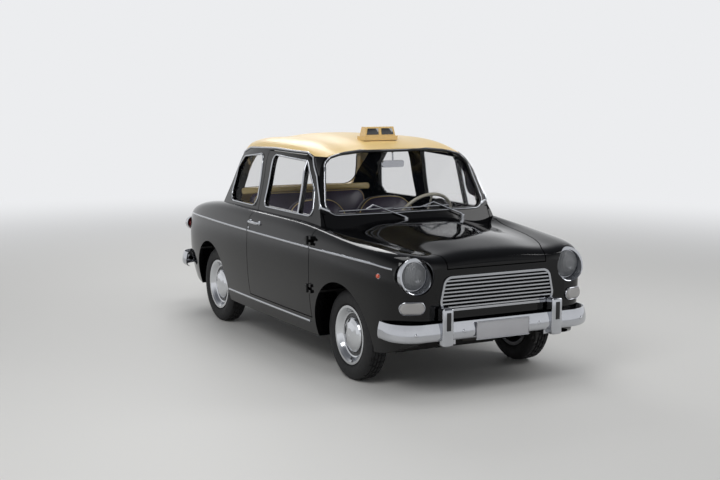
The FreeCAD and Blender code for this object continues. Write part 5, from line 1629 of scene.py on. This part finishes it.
@dataclass
class Handles:
    """Door handles, lock buttons and the boot handle."""

    shop: Workshop
    door_y: Point2 = (0.045, 0.185)
    door_z: float = 0.806
    grip_off: float = 0.024
    grip_inset: float = 0.008
    grip_bow: float = 0.004
    grip_parts: int = 10
    grip_section: Point2 = (0.0085, 0.005)
    foot_section: Outline = ((-0.002, 0.0), (-0.002, 0.015), (0.002, 0.0145), (0.0045, 0.010), (0.005, 0.0))
    button: Point2 = (0.196, 0.764)
    button_section: Outline = ((-0.001, 0.0), (-0.001, 0.0095), (0.004, 0.009), (0.006, 0.006), (0.0055, 0.0))
    steps: int = 24
    boot_half: float = 0.075
    boot_z: float = 0.560
    boot_off: float = 0.022
    boot_parts: int = 12
    boot_section: Point2 = (0.008, 0.005)

    def build(self) -> None:
        """Builds the handles."""
        skin = self.shop.skin("door_left")
        front, rear = self.door_y
        feet = [skin.side(y, self.door_z, 0.0) for y in (front, rear)]
        half = self.grip_parts / 2
        line = [feet[0]]
        for k in range(self.grip_parts + 1):
            y = front + self.grip_inset + (rear - front - 2 * self.grip_inset) * k / self.grip_parts
            out = self.grip_off - self.grip_bow * (k / half - 1) ** 2
            line.append(skin.side(y, self.door_z, 0.0) + ACROSS * out)
        line.append(feet[1])
        grip = strip(line, *self.grip_section)
        plates = [turned(self.foot_section, foot, ACROSS, self.steps) for foot in feet]
        self.shop.chrome_pair(joined([grip, *plates]), "door_handle", "door_SIDE")
        button = turned(self.button_section, *skin.flank(*self.button), self.steps)
        self.shop.chrome_pair(button, "lock_button", "door_SIDE")
        skin = self.shop.skin("boot_lid")
        points = []
        for k in range(self.boot_parts + 1):
            base = skin.front(self.boot_half * (2 * k / self.boot_parts - 1), self.boot_z, 0.0, back=True)
            points.append(base + ALONG * (self.boot_off if 0 < k < self.boot_parts else 0.0))
        self.shop.chrome(strip(points, *self.boot_section), "boot_handle", "boot_lid")


@dataclass
class Dashboard:
    """Hooded dial before the driver, knobs and the bead of the glovebox lid."""

    shop: Workshop
    dial: Point3 = (0.330, -0.485, 0.905)
    dial_axis: Point3 = (0.0, 0.97, 0.24)
    dial_steps: int = 48
    hood_section: Outline = ((-0.060, 0.0), (-0.060, 0.050), (-0.020, 0.066), (0.012, 0.068), (0.014, 0.064),
                             (0.002, 0.058), (0.002, 0.0))
    ring_section: Outline = ((0.0, 0.052), (0.0, 0.060), (0.009, 0.060), (0.010, 0.055), (0.006, 0.052))
    face_section: Outline = ((0.0022, 0.0), (0.0022, 0.0525), (0.0032, 0.0525), (0.0032, 0.0))
    knobs: tuple[float, ...] = (-0.06, 0.0, 0.06, 0.12)
    knob_z: float = 0.790
    knob_section: Outline = ((-0.002, 0.0), (-0.002, 0.005), (0.012, 0.005), (0.014, 0.011), (0.022, 0.011),
                             (0.025, 0.007), (0.026, 0.0))
    knob_steps: int = 24
    lid: tuple[Point2, Point2] = ((-0.46, 0.735), (-0.16, 0.835))
    lid_round: float = 0.015
    bead_radius: float = 0.0022
    bead_off: float = 0.0006
    bead_step: float = 0.05

    def build(self) -> None:
        """Builds the dashboard's pieces."""
        for name, section, slot, look in (
                ("dial_housing", self.hood_section, "dash_paint", Look.DASH_PAINT),
                ("dial_bezel", self.ring_section, "chrome", Look.CHROME),
                ("dial_face", self.face_section, "wheel_plastic", Look.IVORY)):
            piece = turned(section, Vector(self.dial), Vector(self.dial_axis).normalized(), self.dial_steps)
            self.shop.deliver(piece, name, "root", slot, look)
        skin = self.shop.skin("dashboard")
        knobs = [turned(self.knob_section, skin.front(x, self.knob_z, 0.0, back=True), ALONG, self.knob_steps)
                 for x in self.knobs]
        self.shop.deliver(joined(knobs), "dash_knobs", "root", "wheel_plastic", Look.IVORY)
        loop = rounded_loop(box_corners(*self.lid), self.lid_round, 0.0, self.bead_step)
        line = skin.loop(loop, self.bead_off, True)
        bead = strip(line, self.bead_radius, self.bead_radius, closed=True, sides=2)
        self.shop.chrome(bead, "glovebox_bead")


@dataclass
class Controls:
    """Gear lever, handbrake and pedals."""

    shop: Workshop
    lever_foot: Point3 = (0.0, -0.36, 0.373)
    lever: Outline = ((0.0, 0.0), (0.012, 0.10), (0.035, 0.20), (0.045, 0.262))
    lever_radius: float = 0.006
    gaiter_section: Outline = ((-0.002, 0.0), (-0.002, 0.050), (0.012, 0.046), (0.018, 0.036), (0.026, 0.034),
                               (0.032, 0.022), (0.040, 0.020), (0.048, 0.008), (0.050, 0.0))
    gaiter_axis: Point3 = (0.0, 0.1, 1.0)
    knob_section: Outline = ((-0.018, 0.0), (-0.016, 0.010), (-0.006, 0.018), (0.004, 0.019), (0.014, 0.013),
                             (0.018, 0.0))
    knob_place: Point3 = (0.0, 0.047, 0.272)
    steps: int = 32
    brake: Outline = ((-0.14, 0.378), (-0.06, 0.420), (0.04, 0.462), (0.09, 0.480))
    brake_section: Point2 = (0.010, 0.008)
    pedals: tuple[float, ...] = (0.24, 0.34, 0.44)
    pedal: tuple[Point3, Point3] = ((-0.026, -0.552, 0.345), (0.026, -0.540, 0.405))
    pedal_edge: float = 0.004
    arm: Outline = ((-0.551, 0.375), (-0.600, 0.420), (-0.645, 0.500))
    arm_radius: float = 0.006

    def build(self) -> None:
        """Builds the controls."""
        foot = Vector(self.lever_foot)
        lever = rod(self.lever_radius, *(foot + Vector((0, y, z)) for y, z in self.lever))
        gaiter = turned(self.gaiter_section, foot, Vector(self.gaiter_axis).normalized(), self.steps)
        knob = turned(self.knob_section, foot + Vector(self.knob_place), UP, self.steps)
        self.shop.chrome(lever, "gear_lever")
        self.shop.deliver(gaiter, "gear_gaiter", "root", "rubber_black", Look.SEAL)
        self.shop.deliver(knob, "gear_knob", "root", "wheel_plastic", Look.IVORY)
        self.shop.chrome(strip([Vector((0, y, z)) for y, z in self.brake], *self.brake_section), "handbrake")
        pedals = []
        for x in self.pedals:
            pedals.append(block(*(Vector(corner) + ACROSS * x for corner in self.pedal), self.pedal_edge))
            pedals.append(rod(self.arm_radius, *((x, y, z) for y, z in self.arm)))
        self.shop.deliver(joined(pedals), "pedals", "root", "rubber_black", Look.SEAL)


@dataclass
class Furnishing:
    """Door cards with their fittings, floor mats and headlining."""

    shop: Workshop
    card_middle: Point2 = (-0.232, 0.610)
    card_size: Point2 = (0.76, 0.46)
    card_cells: tuple[int, int] = (44, 20)
    card_fallback: float = 0.66
    card_off: float = 0.005
    card_thick: float = 0.004
    ripple: float = 0.0018
    ripple_pitch: float = 0.045
    ripple_band: Point2 = (0.50, 0.76)
    rest_place: Point2 = (-0.05, 0.640)
    rest_y: Point2 = (-0.250, 0.080)
    rest_z: Point2 = (0.622, 0.658)
    rest_x: Point2 = (0.055, 0.006)
    rest_edge: float = 0.016
    winder: Point2 = (-0.33, 0.560)
    winder_off: float = 0.006
    boss_section: Outline = ((-0.002, 0.0), (-0.002, 0.020), (0.010, 0.018), (0.016, 0.008), (0.017, 0.0))
    boss_steps: int = 28
    crank: tuple[Point3, ...] = ((-0.014, 0.0, 0.0), (-0.024, 0.04, -0.03), (-0.024, 0.075, -0.055))
    crank_section: Point2 = (0.006, 0.004)
    grip_section: Outline = ((0.0, 0.0), (0.0, 0.009), (0.018, 0.010), (0.024, 0.007), (0.025, 0.0))
    grip_steps: int = 20
    mats: tuple[tuple[str, Point2, Point2], ...] = (("front", (0.160, -0.650), (0.585, -0.300)),
                                                    ("rear", (0.160, 0.150), (0.585, 0.325)))
    mat_foot: float = 0.2325
    mat_off: float = 0.0005
    mat_thick: float = 0.006
    mat_edge: float = 0.002
    tunnel_top: float = 0.3
    lining_thick: float = 0.0022
    lining_tilt: float = -0.25
    lining_foot: float = 1.15

    def build(self) -> None:
        """Builds the furnishing."""
        skin = self.shop.skin("door_left")
        self.door_card(skin)
        self.armrest(skin)
        self.window_winder(skin)
        self.floor_mats()
        self.headlining()

    def door_card(self, skin: Skin) -> None:
        """Vinyl panel inside each door, with a rippled band.

        Args:
            skin: The left door.
        """
        deselect()
        bpy.ops.mesh.primitive_grid_add(
            x_subdivisions=self.card_cells[0], y_subdivisions=self.card_cells[1], size=1.0)
        card = bpy.context.object
        low, high = self.ripple_band
        for vertex in card.data.vertices:
            y = self.card_middle[0] + vertex.co.x * self.card_size[0]
            z = self.card_middle[1] + vertex.co.y * self.card_size[1]
            wall = skin.lining(y, z) or self.card_fallback
            wave = self.ripple * math.cos(y / self.ripple_pitch * 2 * math.pi) if low < z < high else 0.0
            vertex.co = Vector((wall - self.card_off - wave, y, z))
        add_modifier(card, "SOLIDIFY", thickness=self.card_thick, offset=-1.0)
        self.shop.pair(card, "door_card", "door_SIDE", "seat_vinyl", Look.VINYL, angle=50)

    def armrest(self, skin: Skin) -> None:
        """Padded rest on each door card.

        Args:
            skin: The left door.
        """
        inner = skin.lining(*self.rest_place)
        (front, rear), (foot, head), (deep, off) = self.rest_y, self.rest_z, self.rest_x
        rest = block((inner - deep, front, foot), (inner - off, rear, head), self.rest_edge, rounds=5)
        self.shop.pair(rest, "armrest", "door_SIDE", "seat_vinyl", Look.VINYL, angle=60)

    def window_winder(self, skin: Skin) -> None:
        """Crank on each door card.

        Args:
            skin: The left door.
        """
        hub = Vector((skin.lining(*self.winder) - self.winder_off, *self.winder))
        boss = turned(self.boss_section, hub, -ACROSS, self.boss_steps)
        bends = [hub + Vector(bend) for bend in self.crank]
        arm = strip(bends, *self.crank_section)
        grip = turned(self.grip_section, bends[-1], -ACROSS, self.grip_steps)
        self.shop.chrome_pair(joined([boss, arm, grip]), "window_winder", "door_SIDE")

    def floor_mats(self) -> None:
        """Carpet on the floor before both rows of seats."""
        skin = self.shop.skin("floor_pan")
        for name, low, high in self.mats:
            middle = (Vector(low) + Vector(high)) / 2
            found = skin.hit(Vector((*middle, skin.outside.z)), -UP)
            seen = found is not None and found[0].z <= self.tunnel_top
            foot = found[0].z + self.mat_off if seen else self.mat_foot
            mat = block((*low, foot), (*high, foot + self.mat_thick), self.mat_edge)
            self.shop.pair(mat, f"mat_{name}", "root", "rubber_black", Look.CARPET)

    def headlining(self) -> None:
        """Cloth under the roof, taken from the roof's own inner face."""
        lining = copied(self.shop.frame["nodes"]["roof"])
        for key in [k for k in lining.keys() if k.startswith("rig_")]:
            del lining[key]
        bpy.ops.object.parent_clear(type="CLEAR_KEEP_TRANSFORM")
        bpy.ops.object.transform_apply(location=True, rotation=True, scale=True)
        bpy.ops.object.mode_set(mode="EDIT")
        pick_faces(lambda face: not (face.normal.z < self.lining_tilt
                                     and face.calc_center_median().z > self.lining_foot))
        bpy.ops.mesh.delete(type="FACE")
        bpy.ops.mesh.select_all(action="SELECT")
        bpy.ops.mesh.remove_doubles(threshold=MERGE * 10)
        bpy.ops.object.mode_set(mode="OBJECT")
        add_modifier(lining, "SOLIDIFY", thickness=self.lining_thick, offset=1.0)
        self.shop.deliver(lining, "headlining", "root", "sign_cream", Look.LINING, angle=60)


@dataclass
class SignPanes:
    """Two smoked panes on each face of the roof sign, bare of words."""

    shop: Workshop
    low: float = 1.384
    high: float = 1.424
    bar: float = 0.011
    foot_half: float = 0.100
    head_half: float = 0.090
    off: float = 0.0012
    thick: float = 0.002
    edge: float = 0.0006

    def build(self) -> None:
        """Builds the four panes."""
        skin = self.shop.skin("roof_sign")
        # In the order of a new plane's corners.
        outline = ((self.bar, self.low), (self.foot_half, self.low), (self.bar, self.high),
                   (self.head_half, self.high))
        for end, back in (("front", False), ("rear", True)):
            for side, sign in SIDES.items():
                deselect()
                bpy.ops.mesh.primitive_plane_add(size=1.0)
                pane = bpy.context.object
                for vertex, (x, z) in zip(pane.data.vertices, outline):
                    vertex.co = skin.front(sign * x, z, self.off, back)
                add_modifier(pane, "SOLIDIFY", thickness=self.thick, offset=0.0)
                add_modifier(pane, "BEVEL", width=self.edge, segments=2, limit_method="NONE")
                apply_all(pane)
                face_outwards(pane)
                self.shop.deliver(pane, f"sign_pane_{end}_{side}", "root", "sign_cream", Look.DARK_PANE)


# Studio


@dataclass(frozen=True)
class SoftLamp:
    """A square lamp that looks at the car."""

    name: str
    place: Point3
    size: float
    power: float


@dataclass
class Studio:
    """Pale floor, soft lamps and the camera as it was fitted to the photograph."""

    azimuth: float = -28.513
    elevation: float = 7.701
    roll: float = 0.236
    focal_mm: float = 63.549
    sensor_mm: float = 36.0
    place: Point3 = (-4.056177, -7.483287, 1.810384)
    floor_half: float = 14.0
    floor_colour: str = "D9D8D5"
    floor_roughness: float = 0.6
    lamps: tuple[SoftLamp, ...] = (
        SoftLamp("key", (-4.5, -3.5, 4.6), 2.6, 120.0), SoftLamp("fill", (4.6, -3.0, 3.6), 2.4, 60.0),
        SoftLamp("rim", (1.0, 5.0, 4.4), 2.6, 90.0), SoftLamp("top", (0.0, 0.0, 5.4), 2.6, 60.0))
    target: Point3 = (0.0, 0.0, 0.6)
    backdrop: str = "ECEDEF"
    ceiling: str = "6C6E73"
    fade: Point2 = (3.2, 10.0)
    sky: str = "EFF1F4"
    sky_strength: float = 0.45
    wall_heights: Point2 = (0.12, 0.75)

    def build(self) -> None:
        """Builds floor, light and camera."""
        self.floor()
        self.light()
        self.world()
        self.camera()

    def floor(self) -> None:
        """The plain floor, which fades to the backdrop far from the car."""
        deselect()
        bpy.ops.mesh.primitive_plane_add(size=self.floor_half * 2, location=(0, 0, 0))
        floor = bpy.context.object
        floor.name = "studio_floor"
        surface = Surface.new("matt_studio_floor")
        surface.give({"Base Color": linear(self.floor_colour), "Roughness": self.floor_roughness})
        tree = surface.tree
        away = add_node(tree, "ShaderNodeVectorMath", {"operation": "LENGTH"}, {0: surface.place})
        far = add_node(tree, "ShaderNodeMapRange", {"interpolation_type": "SMOOTHSTEP"}, {
            "Value": away.outputs["Value"], "From Min": self.fade[0], "From Max": self.fade[1]})
        seen = add_node(tree, "ShaderNodeMath", {"operation": "MULTIPLY"},
                        {0: far.outputs["Result"], 1: self.seen_ray(tree)})
        glow = add_node(tree, "ShaderNodeEmission", {}, {"Color": linear(self.backdrop), "Strength": 1.0})
        surface.show(add_node(tree, "ShaderNodeMixShader", {}, {
            0: seen.outputs[0], 1: surface.shader.outputs[0], 2: glow.outputs[0]}).outputs[0])
        floor.data.materials.append(surface.material)
        floor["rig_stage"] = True

    @staticmethod
    def seen_ray(tree: bpy.types.NodeTree) -> bpy.types.NodeSocket:
        """One for rays of the camera, of mirrors and of glass, nought for the rest.

        Args:
            tree: The node tree that asks.

        Returns:
            The answer's socket.
        """
        rays = add_node(tree, "ShaderNodeLightPath")
        first = add_node(tree, "ShaderNodeMath", {"operation": "MAXIMUM"}, {
            0: rays.outputs["Is Camera Ray"], 1: rays.outputs["Is Glossy Ray"]})
        return add_node(tree, "ShaderNodeMath", {"operation": "MAXIMUM"}, {
            0: first.outputs[0], 1: rays.outputs["Is Transmission Ray"]}).outputs[0]

    def light(self) -> None:
        """Large soft lamps."""
        for soft in self.lamps:
            deselect()
            bpy.ops.object.light_add(type="AREA", location=soft.place)
            lamp = bpy.context.object
            lamp.name = f"lamp_{soft.name}"
            lamp.data.size = soft.size
            lamp.data.energy = soft.power
            look = Vector(self.target) - Vector(soft.place)
            lamp.rotation_euler = look.to_track_quat("-Z", "Y").to_euler()

    def world(self) -> None:
        """A pale room: even light on the car, and a wall that darkens upwards where it is seen."""
        world = bpy.data.worlds.new("pale_room")
        bpy.context.scene.world = world
        world.use_nodes = True
        tree = world.node_tree
        light = tree.nodes["Background"]
        light.inputs["Color"].default_value = linear(self.sky)
        light.inputs["Strength"].default_value = self.sky_strength
        way = add_node(tree, "ShaderNodeTexCoord").outputs["Object"]
        height = add_node(tree, "ShaderNodeSeparateXYZ", {}, {0: way}).outputs["Z"]
        rise = add_node(tree, "ShaderNodeMapRange", {"interpolation_type": "SMOOTHSTEP"}, {
            "Value": height, "From Min": self.wall_heights[0], "From Max": self.wall_heights[1]})
        shade = add_node(tree, "ShaderNodeMix", {"data_type": "RGBA"}, {
            "Factor": rise.outputs["Result"], 6: linear(self.backdrop), 7: linear(self.ceiling)})
        room = add_node(tree, "ShaderNodeBackground", {}, {"Color": shade.outputs[2], "Strength": 1.0})
        mix = add_node(tree, "ShaderNodeMixShader", {}, {
            0: self.seen_ray(tree), 1: light.outputs[0], 2: room.outputs[0]})
        tree.links.new(mix.outputs[0], tree.nodes["World Output"].inputs["Surface"])

    def camera(self) -> None:
        """The camera, turned as it was fitted to the photograph."""
        deselect()
        bpy.ops.object.camera_add(location=self.place)
        camera = bpy.context.object
        camera.name = "photo_camera"
        camera.data.lens = self.focal_mm
        camera.data.sensor_width = self.sensor_mm
        a, e, r = (math.radians(v) for v in (self.azimuth, self.elevation, self.roll))
        ahead = -Vector((math.sin(a) * math.cos(e), -math.cos(a) * math.cos(e), math.sin(e)))
        right = ahead.cross(UP).normalized()
        up = right.cross(ahead)
        across = right * math.cos(r) + up * math.sin(r)
        rise = up * math.cos(r) - right * math.sin(r)
        camera.rotation_euler = Matrix((across, rise, -ahead)).transposed().to_euler()
        bpy.context.scene.camera = camera
        bpy.context.scene.view_settings.view_transform = "Standard"


def corners() -> list[list[float]]:
    """The object's box as plain lists."""
    return [list(corner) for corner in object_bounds()]


def main() -> None:
    """Dresses the frame, piece by piece, and sets the studio round it."""
    logging.basicConfig(level=logging.INFO, format="%(message)s")
    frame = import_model()
    shop = Workshop(frame)
    for part in (Bodywork, BrightTrim, Lamps, Plates, Wheels, Seats, Nose, Handles, Dashboard, Controls,
                 Furnishing, SignPanes):
        part(shop).build()
    Studio().build()
    log.info("%d pieces made", shop.count)


if __name__ == "__main__":
    main()
